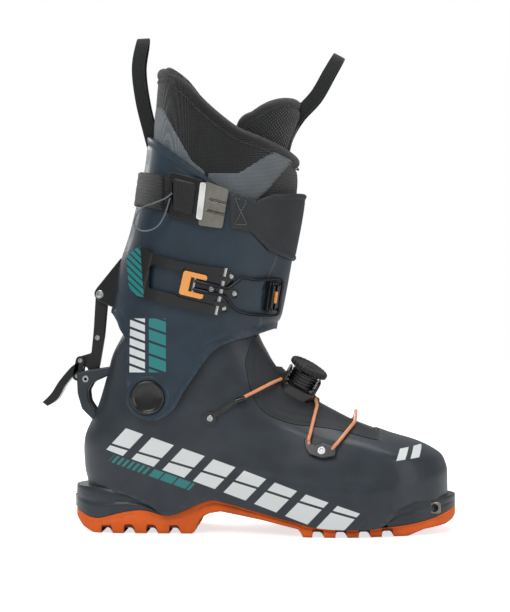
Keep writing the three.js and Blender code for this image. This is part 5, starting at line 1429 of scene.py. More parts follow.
    def guides(self) -> None:
        """Makes the crooked plates that turn the lace, one a side, each with its screw."""
        outline = rounded([(-12, 7), (-7, 7), (-5.5, 1.5), (2, 3.5), (12.5, 0), (12, -6.5), (2, -8.5), (-8, -5),
            (-11, 0)], 2)
        head = [(0, 0.5), (3.1, 0.5), (3.1, 5.2), (2.7, 5.6), (1.6, 5.6), (1.2, 5.0), (0, 5.0)]
        seats = {"outer": SHELL_SKIN.seat(192, 67), "inner": SHELL_SKIN.seat(192, 67, side=INNER)}
        for name, seat in seats.items():
            SHOP.make(f"lace_turn_{name}", faces_of(plate(seat, outline, 0.2, 4.6)), "lower_boot", Slot.BLACK, BLACK,
                f"lace_guide_{name}", bevel=0.7)
            spot = Seat(seat.at(1.5, -2.5, 0.0), seat.along, seat.up, seat.out)
            SHOP.make(f"lace_turn_screw_{name}", turned(head, spot, 32), "lower_boot", Slot.STEEL, STEEL,
                f"lace_guide_screw_{name}", sharp=30)

    def build(self) -> None:
        """Makes the dial, laces and guides and dresses the anchors."""
        self.dial()
        self.laces()
        self.guides()
        SHOP.keep(BLACK, "lace_anchor_outer", "lace_anchor_inner")
        SHOP.keep(STEEL, "lace_anchor_screw_outer", "lace_anchor_screw_inner")


# --- cuff


CUFF_EDGE = [(94, 52), (88.8, 50.2), (80.8, 47.5), (61.8, 42.1), (48.3, 34), (34.7, 15), (26.6, 2.8), (18.5, -10.6),
    (3.5, -17.5), (-11.3, -10.6), (-16.1, 15), (-16.1, 40.7), (-22.5, 52.5), (-26, 59.3), (-33, 65.1), (-50, 66.5)]


@dataclass
class Cuff:
    """The petrol-blue cuff that turns on the ankle pivots."""

    wall: float = 3.2

    def outline(self) -> list[tuple[float, float]]:
        """Its outline from the side, from the back of its top round the front and below."""
        edge = spline(CUFF_EDGE, 90, even=True) + [PIVOT_X, PIVOT_Z]
        front = lambda share: float(CUFF_FRONT(np.array(up_cuff(share))))
        return [(20, CUFF_HEIGHT), (57, CUFF_HEIGHT), (PIVOT_X + 49, up_cuff(0.815)), (PIVOT_X + 67, up_cuff(0.755)),
            (front(0.7) + 20, up_cuff(0.72)), (front(0.3) + 20, PIVOT_Z + 52), *edge]

    def lap(self, p: Array) -> Array:
        """How far each point is sunk beyond the line where the outer side laps over the inner one."""
        front = lambda share: float(CUFF_FRONT(np.array(up_cuff(share))))
        line = np.array([(THROAT_X - 6, up_cuff(0.14)), (THROAT_X - 3, up_cuff(0.267)), (THROAT_X - 1, up_cuff(0.41)),
            (THROAT_X + 8.4, up_cuff(0.514)), (front(0.66) - 8, up_cuff(0.66)), (front(0.74) - 4, up_cuff(0.8))])
        past = p[:, 0] - np.interp(p[:, 2], line[:, 1], line[:, 0])
        sunk = 1.5 * smoothstep(past, -0.7, 0.7) * (1 - smoothstep(past, 3, 13))
        return np.where(p[:, 1] < 0, sunk * smoothstep(p[:, 2], up_cuff(0.05), up_cuff(0.2)), 0.0)

    def build(self) -> None:
        """Makes the cuff and the rings round its pivots."""
        outline = Outline(self.outline())
        hole = lambda p: np.hypot(p[:, 0] - PIVOT_X, p[:, 2] - PIVOT_Z) - 6.35
        sheet = wrap(CUFF_SKIN, np.arange(84, 311, 1.6), 261, outline.of, hole)
        p = sheet.place(sheet.u, sheet.v, 0.0)
        edge = outline.of(p)
        border = 0.7 * (1 - smoothstep(edge, 3.2, 4.6)) - 0.5 * (1 - smoothstep(np.abs(edge - 5.6), 0.2, 1.0))
        near_pivot = smoothstep(np.hypot(p[:, 0] - PIVOT_X, p[:, 2] - PIVOT_Z), 16, 20)
        facet = 0.9 * smoothstep(p[:, 0] - np.interp(p[:, 2], [150, 200, 265], [112, 118, 126]), -5, 5)
        wave = (border + facet * smoothstep(edge, 2, 8)) * near_pivot - self.lap(p)
        SHOP.make("cuff_wall", sheet.thick(-self.wall, 0, wave=wave), "cuff", Slot.CUFF, CUFF, "cuff_shell",
            bevel=0.5)
        for name, side in (("outer", OUTER), ("inner", INNER)):
            seat = facing(PIVOT_X, side * 46.2, PIVOT_Z, side)
            ring = turned([(6.4, -2.5), (16.6, -2.5), (16.4, 0.2), (15.6, 0.8), (13.6, 0.8), (13.2, 0.5), (6.4, 0.5),
                (6.4, -2.5)], seat, 64)
            SHOP.make(f"pivot_ring_{name}", ring, "cuff", Slot.CUFF, CUFF, sharp=30)


# --- liner and loops


LINER_EDGE = [(66, liner_top(1.02)), (72, liner_top(1)), (88, liner_top(0.78)), (102, liner_top(0.48)),
    (116, liner_top(0.23)), (130, liner_top(0.03)), (147, liner_top(-0.1)), (168, liner_top(-0.29)),
    (178, liner_top(-0.47)), (190, liner_top(-0.79))]
TONGUE_EDGE = [(131, up_cuff(0.8)), (132, liner_top(0.05)), (143, liner_top(0.26)), (156, liner_top(0.42)),
    (170, liner_top(0.48)), (180, liner_top(0.41))]


@dataclass
class Liner:
    """The padded liner: collar, tongue and foot, with rolled bindings and two grey panels."""

    wall: float = 7.0
    ease: float = 4.2

    def collar(self) -> None:
        """Makes the collar, its binding and the panels on its outer side."""
        edge = spline(LINER_EDGE, 60, even=True)
        outline = Outline([(25, liner_top(1.02)), *edge, (190, up_cuff(0.6)), (25, SHELL_TOP + 10.7)])
        sheet = wrap(CUFF_SKIN, np.arange(160, 361, 2.4), 151, outline.of)
        low = -self.ease - self.wall
        SHOP.make("liner_collar", sheet.thick(low, -self.ease, rim=9), "cuff", Slot.LINER, KNIT, "liner_cuff",
            sharp=80, padded=0.8)
        turn = np.linspace(0, 2 * np.pi, 161)[:-1]
        z = np.full_like(turn, liner_top(0.2))
        for _ in range(60):
            x = CUFF_SKIN.turn(turn, z, -self.ease - 3.5)[:, 0]
            z = 0.5 * z + 0.5 * np.interp(x, edge[:, 0], edge[:, 1])
        path = CUFF_SKIN.turn(turn, z - 3.2, -self.ease - 3.3)
        turns = np.linspace(0, 2 * np.pi, 16, endpoint=False)
        roll = np.stack([4.4 * np.cos(turns), 3.9 * np.sin(turns)], 1)
        SHOP.make("liner_collar_binding", sweep(path, roll, across=np.array([0.0, 0, 1]), closed=True), "cuff",
            Slot.LINER, BINDING, sharp=80)
        seam = CUFF_SKIN.turn(turn, z - 8.6, -self.ease + 0.1)
        SHOP.make("liner_collar_seam", sweep(seam, ring_section(0.55, 8), across=np.array([0.0, 0, 1]), closed=True),
            "cuff", Slot.LINER, BINDING, sharp=80)
        rear = [(62, 331), (71.3, 328), (80.7, 311), (95.6, 285), (106.6, 276), (104, 268), (80.7, 280), (60, 296)]
        fore = [(106.6, 276), (130.2, 275.5), (156.1, 292.6), (171.9, 286.5), (153, 262), (142.8, 252), (106, 262)]
        for name, panel in (("rear", rear), ("front", fore)):
            sheet = cuff_patch(rounded(panel, 3), 1.6)
            SHOP.make(f"liner_panel_{name}", sheet.thick(-6.5, -3.55, rim=2.2), "cuff", Slot.LINER, PANEL, sharp=80)

    def tongue(self) -> None:
        """Makes the tongue with its binding and the mesh dome on its front."""
        edge = spline(TONGUE_EDGE, 50, even=True)
        outline = Outline([(137, up_cuff(0.5)), *edge, (191, liner_top(0.35)), (191, up_cuff(0.5))])
        around = dict(start=math.pi * 0.4, end=math.pi * 1.6)
        rows = np.arange(up_cuff(0.44), liner_top(0.66), 2.2)
        sheet = wrap(TONGUE_SKIN, rows, 121, outline.of, **around)
        SHOP.make("liner_tongue_pad", sheet.thick(-8, 0, rim=8), "cuff", Slot.LINER, MESH, "liner_tongue", sharp=80,
            padded=0.8)
        keep = edge[:, 0] < TONGUE_SKIN.front(edge[:, 1]) - 6
        side = edge[keep][::3]
        outer = TONGUE_SKIN.at(side[:, 0], side[:, 1], -3.8, OUTER)
        inner = TONGUE_SKIN.at(side[:, 0], side[:, 1], -3.8, INNER)
        last = side[-1, 1]
        tip = np.array([[float(TONGUE_SKIN.front(np.array(last))) - 4.5, 0.0, last - 0.5]])
        path = spline(np.concatenate([outer, tip, inner[::-1]]), 110)
        SHOP.make("liner_tongue_binding", sweep(path, ring_section(4.2, 14), across=np.array([1.0, 0, 0.3])), "cuff",
            Slot.LINER, BINDING, sharp=80)

    def foot(self) -> None:
        """Makes the liner round the foot inside the shell."""
        floor = np.array([(-5, 36.7), (arch(0.2), 36.7), (arch(0.6), 30.2), (FOREFOOT_X, 23.7), (240.5, 23.7),
            (267, 34.7), (302, 34.7)])
        rows = rows_by_arc(SHELL_FRONT, 24, SHELL_TOP - 8, 4.0)
        sheet = wrap(SHELL_SKIN, rows, 111, over(floor))
        SHOP.make("liner_foot_pad", sheet.thick(-12.55, -8.55), "lower_boot", Slot.LINER, KNIT, "liner_foot",
            sharp=80, padded=0.7)
        s = np.linspace(-1, 1, 21)[None]
        x = np.linspace(15, 270, 90)[:, None]
        z = np.interp(x, floor[:, 0], floor[:, 1])
        wide = np.maximum(SHELL_SKIN.half_at(x, np.maximum(z, 40), -12.0), 1)
        level = z + 1.6 + 1.2 * s**4
        top = np.stack(np.broadcast_arrays(x + 0 * s, foot_bend(x) + s * wide, level), -1)
        base = top - [0, 0, 1.5]
        pad = np.concatenate([top, base[:, ::-1]], 1)
        ends = [np.repeat(r.mean(1, keepdims=True), pad.shape[1], 1) for r in (pad[:1], pad[-1:])]
        SHOP.make("liner_insole", grid_form(np.concatenate([ends[0], pad, ends[1]]), closed_columns=True),
            "lower_boot", Slot.LINER, BINDING, sharp=60)

    def loops(self) -> None:
        """Makes the rear and front pull loops, each a strip folded over into a loop."""
        y = np.array([-9, -9, -9, -7.7, -4.5, 0, 4.5, 7.7, 9, 9, 9.0])
        share = np.array([-0.2, 0, 0.35, 0.7, 0.94, 1, 0.94, 0.7, 0.35, 0, -0.2])
        lean = np.interp(share, [-0.2, 0, 0.35, 0.7, 0.85, 1], [9.0, 5.0, -1.5, -4.5, -3.0, -1.0])
        rear = np.stack([53.5 + lean, y, 309 + 75.5 * share], 1)
        section = strap_section(10, 1.9)
        SHOP.make("rear_loop", sweep(spline(rear, 90), section, across=np.array([1.0, 0, 0.05])), "cuff",
            Slot.WEBBING, LOOP, "rear_pull_loop", sharp=60)
        share = np.array([-0.5, -0.2, 0.1, 0.4, 0.75, 0.96, 1, 0.96, 0.75, 0.4, 0.1, -0.2, -0.5])
        y = np.array([-9, -9, -9, -10, -8.5, -4, 0, 4, 8.5, 10, 9, 9, 9.0])
        start = float(CUFF_FRONT(np.array(CUFF_HEIGHT))) - 3.6
        x = start + 30 * share - np.interp(share, [-0.5, -0.2, 0.1, 0.4], [0.0, 5.0, 5.0, 0.0])
        front = np.stack([x, y, liner_top(0.216) + 52 * share], 1)
        SHOP.make("front_loop", sweep(spline(front, 90), section, across=np.array([1.0, 0, -0.55])), "cuff",
            Slot.WEBBING, LOOP, "tongue_pull_loop", sharp=60)
        tab = sweep(spline([(57, 0, 300), (53.5, 0, 312), (52.5, 0, 319)], 20), strap_section(17, 2.2),
            across=np.array([0.0, 1, 0]))
        SHOP.make("rear_loop_tab", tab, "cuff", Slot.WEBBING, LOOP, sharp=60)

    def build(self) -> None:
        """Makes the whole liner."""
        self.collar()
        self.tongue()
        self.foot()
        self.loops()


# --- power strap


def band_between(low: Curve, high: Curve, start: float, end: float) -> Depth:
    """Depth inside a band of the side view between two lines and two x."""
    return lambda p: np.minimum.reduce([p[:, 2] - low(p[:, 0]), high(p[:, 0]) - p[:, 2], p[:, 0] - start,
        end - p[:, 0]])


@dataclass
class PowerStrap:
    """The strap round the top of the cuff: webbing, front band, cam buckle, hook and cord."""

    seat: float = 0.5

    def webbing(self) -> None:
        """Makes the webbing, doubled where it is sewn behind the buckle."""
        def lay(form: Form) -> Form:
            p = form.points
            turn = np.arctan2(p[:, 1], 112 - p[:, 0])
            form.marks["lay"] = np.stack([60 * turn, p[:, 2] - strap_low(p[:, 0]), 0 * turn], 1)
            return form

        region = band_between(strap_low, strap_top, 0, BAND_END)
        stop = lambda p: np.where(p[:, 1] < 0, BUCKLE_X + 24 - p[:, 0], 60.0)
        wide = wrap(CUFF_SKIN, np.arange(232, 290, 1.6), 181, region, stop)
        double = cuff_patch([(48, strap_low(48) + 0.3), (74, strap_low(74) + 0.3), (74, strap_top(74) - 0.3),
            (48, strap_top(48) - 0.3)], 1.2, slant=0.25)
        SHOP.make("strap_webbing", lay(wide.thick(self.seat, self.seat + 1.8, rim=0.8)), "cuff", Slot.WEBBING, WEB,
            "power_strap_webbing", sharp=60)
        SHOP.make("strap_webbing_fold", lay(double.thick(self.seat + 1.9, self.seat + 3.6, rim=1.0)), "cuff",
            Slot.WEBBING, WEB, sharp=60)

    def band(self) -> None:
        """Makes the rubber band over the shin, its upper edge rolled and its end stitched."""
        line = [(BAND_END + 0.35, strap_low(BAND_END) - 1), (BAND_END + 0.35, strap_top(BAND_END)),
            (143, strap_top(143) - 2), (155, strap_top(155) + 6), (201, up_cuff(0.79)), (201, up_cuff(0.5)),
            (168, up_cuff(0.52)), (152, up_cuff(0.55)), (139, up_cuff(0.62))]
        outline = Outline(line)
        sheet = wrap(CUFF_SKIN, np.arange(198, 276, 1.5), 181, outline.of, start=math.pi * 0.35, end=math.pi * 1.65)
        p = sheet.place(sheet.u, sheet.v, 0.0)
        top = Outline(rounded(line, 2)).of(p)
        wave = 0.8 * (1 - smoothstep(top, 2.6, 3.8)) - 0.3 * (1 - smoothstep(np.abs(top - 4.6), 0.2, 0.9))
        SHOP.make("strap_band", sheet.thick(self.seat, self.seat + 2.5, rim=1.3, wave=wave), "cuff", Slot.RUBBER,
            BAND, "power_strap_band", sharp=60)
        corner = [(BAND_END + 4, strap_low(BAND_END + 4) + 3), (BAND_END + 4, strap_top(BAND_END + 4) - 4),
            (BAND_END + 13, strap_top(BAND_END + 13) - 4), (BAND_END + 13, strap_low(BAND_END + 13) + 5)]
        box = [*corner, corner[0], corner[2], corner[3], corner[1]]
        stitches = []
        for a, b in zip(box[:-1], box[1:]):
            a, b = np.array(a, float), np.array(b, float)
            count = max(2, int(np.linalg.norm(b - a) / 2.2))
            for k in range(count):
                ends = [a + (b - a) * (k + t) / count for t in (0.12, 0.5, 0.88)]
                lift = [self.seat + 2.3, self.seat + 2.85, self.seat + 2.3]
                path = np.array([CUFF_SKIN.at(e[0], e[1], h) for e, h in zip(ends, lift)])
                stitches.append(sweep(path, ring_section(0.32, 6), across=np.array([0.0, 0, 1])))
        SHOP.make("band_stitches", stitches[0].with_others(*stitches[1:]), "cuff", Slot.CORD, CORD, sharp=80)

    def buckle(self) -> None:
        """Makes the frame, the ribbed cam, the tag and the three-tier hook."""
        b, e = BUCKLE_X, FRAME_END
        frame_line = rounded([(b, strap_low(b) - 2), (e - 6, strap_low(e) - 3), (e, strap_top(e) + 3),
            (b + 3, strap_top(b) + 3)], 3)
        window = Outline(rounded([(b + 5, strap_low(b) + 4), (b + 18, strap_low(b + 18) + 4),
            (b + 18, strap_top(b + 18) - 4), (b + 5, strap_top(b) - 4)], 2))
        SHOP.make("strap_buckle_frame", cuff_patch(frame_line, 0.9, lambda p: -window.of(p), slant=0.25).thick(2.65,
            5.05), "cuff", Slot.BLACK, BLACK, "power_buckle_frame", bevel=0.6)
        cam_line = rounded([(b + 5.5, strap_low(b) + 1), (b + 20, strap_low(b + 20) + 1.5),
            (b + 23.5, strap_top(b + 22) - 1), (b + 6, strap_top(b) - 2)], 2.5)
        cam = cuff_patch(cam_line, 0.55, slant=0.25)
        ribs = 0.3 * np.sin(2 * np.pi * cam.u / 2.6) * smoothstep(cam.depth, 1.5, 3.0)
        SHOP.make("strap_buckle_cam", cam.thick(5.4, 7.6, rim=1.2, wave=ribs), "strap_cam", Slot.BLACK, MATT,
            "power_buckle_cam", sharp=50)
        tag_line = rounded([(b + 23, strap_low(b + 23)), (b + 27.5, strap_low(b + 28)),
            (b + 31, strap_top(b + 28) + 1), (b + 26.5, strap_top(b + 26) + 1)], 1.5)
        SHOP.make("strap_release_tag", cuff_patch(tag_line, 0.7, slant=0.25).thick(5.4, 6.5), "cuff", Slot.WHITE,
            WHITE, "release_tag", bevel=0.3)
        hook_line = rounded([(e + 0.4 - 6, strap_low(e) - 3), (BAND_END - 5.4, strap_low(BAND_END) - 1),
            (BAND_END - 0.35, strap_top(BAND_END) + 1), (e + 0.4, strap_top(e) + 3)], 2)
        hook = cuff_patch(hook_line, 0.6, slant=0.25)
        tiers = -0.75 * smoothstep(hook.u, -2.8, -2.3) - 0.75 * smoothstep(hook.u, 2.6, 3.1)
        split = np.abs(np.abs(hook.v) - 4.4)
        slot = 1.5 * (1 - smoothstep(split, 0.5, 1.0)) * smoothstep(hook.u, -4.6, -4.0)
        SHOP.make("strap_hook_plate", hook.thick(1.5, 4.6, wave=tiers - slot), "cuff", Slot.GREY, GREY,
            "power_strap_hook", bevel=0.35, sharp=30)

    def cord(self) -> None:
        """Makes the stiff cord loop on the cam, which hangs behind the buckle."""
        route = [(5.1, -13.5), (0.5, -17), (-9.5, -20.8), (-19, -24), (-24.5, -30), (-25.5, -36.5), (-20, -41),
            (-12.5, -41.2), (-6, -38), (-1.2, -31), (1.4, -24), (3.4, -17.3)]
        lift = [6.6, 7.4, 8.2, 8.6, 8.4, 8, 7.8, 7.6, 7.4, 7, 6.8, 6.4]
        points = [CUFF_SKIN.at(BUCKLE_X + dx, strap_top(BUCKLE_X) + dz, h) for (dx, dz), h in zip(route, lift)]
        path = spline(points, 90)
        loop = SHOP.make("pull_cord_loop", sweep(path, ring_section(0.6, 10), across=np.array([0.0, 1, 0])),
            "strap_cam", Slot.CORD, CORD, "pull_cord", sharp=60)
        rows = SHOP.row(path)
        [tuple(p) for p in rows[::3].tolist() + [rows[-1].tolist()]]

    def build(self) -> None:
        """Makes the whole strap."""
        self.cord()
        self.webbing()
        self.band()
        self.buckle()


# --- shin buckle


@dataclass
class ShinBuckle:
    """The lever buckle on the shin: base, lever with slider, wire bail and toothed ladder."""

    slant: float = 0.228
    pin_u: float = -21.0
    lever_low: float = 3.0
    lever_top: float = 5.6

    def from_hinge(self, u: float, v: float) -> tuple[float, float]:
        """x and z of a place u along the buckle and v up it from the hinge."""
        c, s = math.cos(self.slant), math.sin(self.slant)
        return 117.3 + u * c + v * s, up_cuff(0.4) - u * s + v * c

    def patch(self, outline: Pairs, step: float, *tests: Depth) -> Sheet:
        """A patch of the cuff inside an outline of (u, v) points."""
        region = Outline([self.from_hinge(u, v) for u, v in outline])
        place = lambda u, v, grow: CUFF_SKIN.at(*self.from_hinge(u, v), grow)
        uv = np.array(outline, float)
        us = np.arange(uv[:, 0].min() - step, uv[:, 0].max() + 1.1 * step, step)
        vs = np.arange(uv[:, 1].min() - step, uv[:, 1].max() + 1.1 * step, step)
        return Sheet.cut(place, us, vs, both(region.of, *tests))

    def seat(self, u: float, v: float, lift: float) -> Seat:
        """A seat on the cuff at (u, v)."""
        return CUFF_SKIN.seat(*self.from_hinge(u, v), lift)

    def base(self) -> None:
        """Makes the base plate with its ears and rivets."""
        plate_line = rounded([(-30, -14), (4, -14), (8, -8), (8, 9), (4, 15), (-30, 15)], 3)
        ear = lambda v0, v1: self.patch(rounded([(-3, v0), (5.5, v0), (5.5, v1), (-3, v1)], 1.2), 0.7).thick(0.35,
            6.6)
        form = self.patch(plate_line, 1.0).thick(0.35, 2.3).with_others(ear(8, 11.4), ear(-11.4, -8))
        SHOP.make("shin_base", form, "cuff", Slot.BLACK, BLACK, "buckle_base", bevel=0.4)
        rings, rivets = [], []
        for u, v, lift in ((4.6, 12.3, 2.3), (4.6, -11.8, 2.3), (-7.5, 0.0, 2.3), (9.6, 0.4, 0.35)):
            seat = self.seat(u, v, lift)
            rings.append(turned([(0, -1), (3.6, -1), (3.6, 0.7), (3.1, 1.1), (2.3, 1.0), (0, 1.0)], seat, 28))
            rivets.append(turned([(0, 0.6), (2.2, 0.6), (2.2, 1.3), (1.7, 1.9), (0.9, 2.1), (0, 2.15)], seat, 24))
        SHOP.make("shin_rivet_bosses", rings[0].with_others(*rings[1:]), "cuff", Slot.BLACK, BLACK, sharp=30)
        SHOP.make("shin_rivets", rivets[0].with_others(*rivets[1:]), "cuff", Slot.STEEL, STEEL, sharp=40)
        SHOP.keep(STEEL, "buckle_hinge_pin")

    def lever(self) -> None:
        """Makes the lever, its grip swollen at the end, and the orange slider with its pin."""
        line = rounded([(3.5, -18), (3.5, 18), (-20, 15.5), (-41, 15), (-58, 16.4), (-67, 20), (-75, 14), (-77, 8),
            (-70, -12), (-64, -18), (-55, -17.5), (-37, -19), (-15, -18.5)], 4)
        hole = [(-57, 7), (-54, -10), (-32, -10.4), (-31, -11.6), (10, -11.8), (10, 11.8), (-31, 11.6), (-32, 8),
            (-54, 8.4)]
        window = Outline([self.from_hinge(u, v) for u, v in rounded(hole, 1.5)])
        sheet = self.patch(line, 1.1, lambda p: -window.of(p))
        swell = 0.7 * (1 - smoothstep(sheet.u, -60, -56)) - 0.45 * (1 - smoothstep(np.abs(sheet.u + 56.5), 0.4, 1.2))
        form = sheet.thick(self.lever_low, self.lever_top, wave=swell)
        p = form.points
        c, s = math.cos(self.slant), math.sin(self.slant)
        dx, dz = p[:, 0] - 117.3, p[:, 2] - up_cuff(0.4)
        form.marks["grip"] = np.stack([dx * c - dz * s, dx * s + dz * c, 0 * dx], 1)
        SHOP.make("shin_lever_arm", form, "shin_lever", Slot.BLACK, GRIP, "buckle_lever", bevel=0.5)
        slot = Outline([self.from_hinge(u, v) for u, v in ((self.pin_u - 3, -5.4), (10, -5.4), (10, 5.4),
            (self.pin_u - 3, 5.4))])
        fork = self.patch(rounded([(-30.5, -9.2), (-12, -9.2), (-12, 9.2), (-30.5, 9.2)], 2.2), 0.7,
            lambda p: -slot.of(p))
        SHOP.make("shin_slider", fork.thick(self.lever_low, self.lever_top + 0.9), "shin_lever", Slot.ORANGE, ORANGE,
            "lever_slider", bevel=0.5)
        ends = [self.seat(self.pin_u, v, 0).at(0, 0, self.lever_top - 1.0) for v in (-7.5, 7.5)]
        pin = sweep(np.linspace(ends[0], ends[1], 4), ring_section(1.1, 14), across=np.array([1.0, 0, 0]))
        SHOP.make("shin_slider_pin", pin, "shin_lever", Slot.STEEL, STEEL, sharp=40)

    def bail(self) -> None:
        """Makes the wire bail and the ladder that it hooks on."""
        lift = self.lever_top + 0.7 + 1.25
        at = lambda u, v, h: CUFF_SKIN.at(*self.from_hinge(u, v), h)
        ladder_x = float(CUFF_FRONT(np.array(up_cuff(0.38)))) - 8
        ladder = CUFF_SKIN.seat(ladder_x, up_cuff(0.382))
        points = [at(self.pin_u, 3.1, lift - 2), at(-12, 3, lift), at(-4, 3, lift), at(4.6, 3.2, lift),
            at(6.4, 4.6, lift), at(13.4, 13, lift), at(15.6, 14.2, lift), at(22, 14.2, lift), ladder.at(0.5, 14, 4.8),
            ladder.at(3.4, 12.4, 4.8), ladder.at(3.6, 0, 4.8), ladder.at(3.4, -12.4, 4.8), ladder.at(0.5, -14, 4.8),
            at(22, -12, lift), at(15.2, -11.4, lift), at(13, -10.2, lift), at(6.2, -4.2, lift), at(4.4, -3.1, lift),
            at(-4, -3, lift), at(-12, -3, lift), at(self.pin_u, -3.1, lift - 2)]
        path = spline(points, 240)
        SHOP.make("shin_bail_wire", sweep(path, ring_section(1.25, 14), across=np.array([0.0, 0, 1])), "shin_bail",
            Slot.DARK, DARK, "buckle_bail", sharp=60)
        body = plate(ladder, rounded([(-8.5, -11.5), (7.5, -11.5), (8.5, -9), (8.5, 9), (7.5, 11.5), (-8.5, 11.5)],
            2), -1.8, 2.6)
        teeth = [plate(ladder, rounded([(a, -9), (a + 2.2, -9), (a + 2.2, 9), (a, 9)], 0.8), 2.3, 5)
            for a in (-7, -2)]
        small = [plate(ladder, rounded([(a, v), (a + 1.5, v), (a + 1.5, v + 2.2), (a, v + 2.2)], 0.4), 2.3, 3.7)
            for a in (-6.4, -3.6, -0.8, 2.0, 4.8) for v in (-11.2, 9.1)]
        SHOP.make("shin_ladder", faces_of(body, *teeth, *small), "cuff", Slot.BLACK, BLACK, "buckle_ladder",
            bevel=0.3)
        insert = plate(ladder, rounded([(-4.25, -4.5), (-2.35, -4.5), (-2.35, 4.5), (-4.25, 4.5)], 0.6), 2.95, 6.5)
        SHOP.make("shin_ladder_insert", insert, "cuff", Slot.ORANGE, ORANGE, "ladder_insert", bevel=0.3)

    def build(self) -> None:
        """Makes the whole buckle."""
        self.base()
        self.lever()
        self.bail()


# --- walk mechanism


@dataclass
class WalkMechanism:
    """The bar behind the heel that locks the cuff to ski and lets it swing to walk."""

    top: tuple[float, float] = (19.0, 183.6)
    low: tuple[float, float] = (3.0, 131.5)
    mid: tuple[float, float] = (16.4, 149.5)
    hook: tuple[float, float] = (0.4, 119.3)

    def pin(self, name: str, at: tuple[float, float], radius: float, half: float, body: str, node: str) -> None:
        """Makes a pin across the boot with a dished head at each end."""
        heads = [(0, -half + 0.4), (radius * 0.45, -half + 0.4), (radius * 0.6, -half), (radius * 0.85, -half),
            (radius, -half + 0.5)]
        seat = facing(at[0], 0.0, at[1], OUTER)
        profile = [*heads, *[(r, -h) for r, h in heads[::-1]]]
        SHOP.make(name, turned(profile, seat, 28), body, Slot.STEEL, STEEL, node, sharp=30)

    def build(self) -> None:
        """Makes the bracket, the bar, the lever and their pins."""
        tx, tz = self.top
        outline = rounded([(tx - 5, tz), (tx - 3.5, tz + 4), (tx + 17, up_cuff(0.535)), (tx + 20, up_cuff(0.52)),
            (tx + 16, up_cuff(0.33)), (tx + 7, tz - 9), (tx - 2, tz - 5)], 2.5)
        web = [(tx + 6.4, tz - 8), (tx + 6.4, tz + 9), (tx + 17, up_cuff(0.53)), (tx + 18, up_cuff(0.4)),
            (tx + 12, tz - 8)]
        SHOP.make("walk_mount", faces_of(slab(outline, -8.4, -4.5), slab(outline, 4.5, 8.4), slab(web, -4.6, 4.6)),
            "cuff", Slot.BLACK, BLACK, "walk_bracket", bevel=0.7)
        lx, lz = self.low
        bar = [(tx - 4, tz), (tx - 2.8, tz + 2.8), (tx, tz + 4), (tx + 2.8, tz + 2.8), (tx + 5.4, tz - 2),
            (21.6, 150.7), (17, 123.7), (15.8, 115.7), (13, 113.7), (12.3, 119.7), (9.8, 122.3), (8, 126.2),
            (lx - 1.5, lz - 3.4), (lx - 3.4, lz), (lx - 1, lz + 3.2), (11.4, lz + 6), (13.4, 156.7)]
        upper = [(tx - 4, tz), (tx - 2.8, tz + 2.8), (tx, tz + 4), (tx + 2.8, tz + 2.8), (tx + 5.4, tz - 2),
            (21.6, 150.7), (17.6, 127), (15.5, 124.5), (12, 141), (13.4, 156.7)]
        SHOP.make("walk_bar_blade", faces_of(slab(rounded(bar, 1.2), -3.4, 3.4), slab(rounded(upper, 1.5), -4, 4)),
            "walk_bar_body", Slot.BLACK, MATT, "walk_bar", bevel=0.5)
        cheek = arm(self.low, self.hook, 3.6)
        over_line = spline([(2, 130.3), (-4, 126.7), (-13.5, 115.7), (-20, 105.7), (-27, 98.7)], 30, even=True)
        under_line = spline([(1.5, 123.2), (-1, 121.2), (-8.5, 112.2), (-15, 101.2), (-23, 95.7)], 30, even=True)
        tail = np.concatenate([over_line, under_line[::-1]])
        SHOP.make("walk_lever_tail", faces_of(slab(cheek, -5.8, -3.75), slab(cheek, 3.75, 5.8),
            slab(tail, -5.8, 5.8)), "walk_lever_body", Slot.BLACK, BLACK, "walk_lever", bevel=0.8)
        self.pin("walk_top_pin", self.top, 3.3, 9.4, "cuff", "walk_bar_pin")
        self.pin("walk_mid_rivet", self.mid, 2.2, 4.6, "walk_bar_body", "walk_bar_rivet")
        self.pin("walk_low_pin", self.low, 2.0, 6.3, "walk_bar_body", "walk_lever_pin")
        self.pin("walk_hook_pin", self.hook, 1.7, 6.3, "walk_lever_body", "walk_lever_hook_pin")


# --- studio


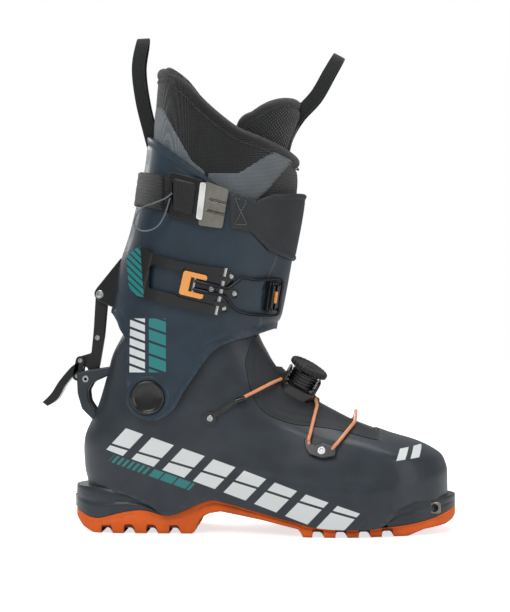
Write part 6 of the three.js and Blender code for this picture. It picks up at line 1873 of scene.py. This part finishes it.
@dataclass
class Studio:
    """A pale floor, soft lights and the camera."""

    target: tuple[float, float, float] = (0.0054, 0.0026, 0.1745)
    distance: float = 1.3
    turn: float = math.radians(3)
    lens: float = 97.3
    glow: float = 0.34  # of the room's light on the boot; the wall itself shows white
    shine: float = 0.72  # of the floor, so that it meets the wall without a line; it lights nothing
    room: float = 4.0  # metres from the boot to the floor's edge
    lamps: tuple[tuple[str, tuple[float, float, float], float, float], ...] = (
        ("key", (-0.5, -1.3, 1.3), 0.9, 11), ("fill", (1.3, -0.9, 0.5), 1.0, 3.5),
        ("top", (0.1, 0.1, 1.6), 1.2, 12), ("rim", (-0.7, 1.1, 0.9), 0.9, 10))

    def camera(self) -> None:
        """Sets the camera level with the boot's middle, square to its outer side and a little to the toe."""
        data = bpy.data.cameras.new("camera")
        data.lens, data.sensor_width, data.sensor_fit = self.lens, 36.0, "AUTO"
        data.clip_start, data.clip_end = 0.01, 50
        eye = bpy.data.objects.new("camera", data)
        x, y, z = self.target
        eye.location = (x + self.distance * math.sin(self.turn), y - self.distance * math.cos(self.turn), z)
        eye.rotation_euler = (math.pi / 2, 0, self.turn)
        bpy.context.scene.collection.objects.link(eye)
        bpy.context.scene.camera = eye

    def light(self, name: str, place: tuple[float, float, float], size: float, power: float) -> None:
        """Adds a square soft light that faces the boot's middle."""
        data = bpy.data.lights.new(name, "AREA")
        data.size, data.energy = size, power
        lamp = bpy.data.objects.new(name, data)
        lamp.location = place
        aim = np.array(self.target) - np.array(place)
        flat = math.hypot(aim[0], aim[1])
        lamp.rotation_euler = (math.atan2(flat, -aim[2]), 0, math.atan2(aim[1], aim[0]) - math.pi / 2)
        bpy.context.scene.collection.objects.link(lamp)

    def show(self, tree: bpy.types.NodeTree, level: float, shown: float, socket: Socket) -> None:
        """Gives a socket of the room one level for its light and another, shown, for how it looks."""
        seen = tree.nodes.new("ShaderNodeMapRange")
        seen.inputs["To Min"].default_value, seen.inputs["To Max"].default_value = level, shown
        tree.links.new(tree.nodes.new("ShaderNodeLightPath").outputs["Is Camera Ray"], seen.inputs["Value"])
        tree.links.new(seen.outputs[0], socket)

    def build(self) -> None:
        """Makes the room."""
        self.camera()
        world = bpy.data.worlds.new("room")
        world.use_nodes = True
        wall = world.node_tree.nodes["Background"].inputs
        wall[0].default_value = (1, 1, 1, 1)
        self.show(world.node_tree, self.glow, 1.0, wall[1])
        bpy.context.scene.world = world
        bpy.context.scene.view_settings.view_transform = "Standard"
        for lamp in self.lamps:
            self.light(*lamp)
        mesh = bpy.data.meshes.new("floor")
        turn = np.linspace(0, 2 * np.pi, 97)[:-1]
        ring = np.stack([self.room * np.cos(turn), self.room * np.sin(turn), 0 * turn - 0.0002], 1)
        mesh.from_pydata(ring, [], [list(range(96))])
        floor = bpy.data.objects.new("floor", mesh)
        bpy.context.scene.collection.objects.link(floor)
        mesh.materials.append(Finish("pale_floor", (236, 236, 236), 0.7, drift=0.01, edge_wear_and_highlight=0.0, grain=3).material())
        tree = mesh.materials[0].node_tree
        surface = next(n for n in tree.nodes if n.type == "BSDF_PRINCIPLED").inputs
        surface["Emission Color"].default_value = (1, 1, 1, 1)
        self.show(tree, 0.0, self.shine, surface["Emission Strength"])


def main() -> None:
    """Builds the boot and the room."""
    logging.basicConfig(level=logging.INFO, format="%(name)s: %(message)s")
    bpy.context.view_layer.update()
    Studio().build()
    for part in (PowerStrap(), Sole(), LowerShell(), Instep(), Lacing(), Cuff(), Liner(), ShinBuckle(),
            WalkMechanism()):
        part.build()
        log.info("%s done", type(part).__name__)


if __name__ == "__main__":
    main()
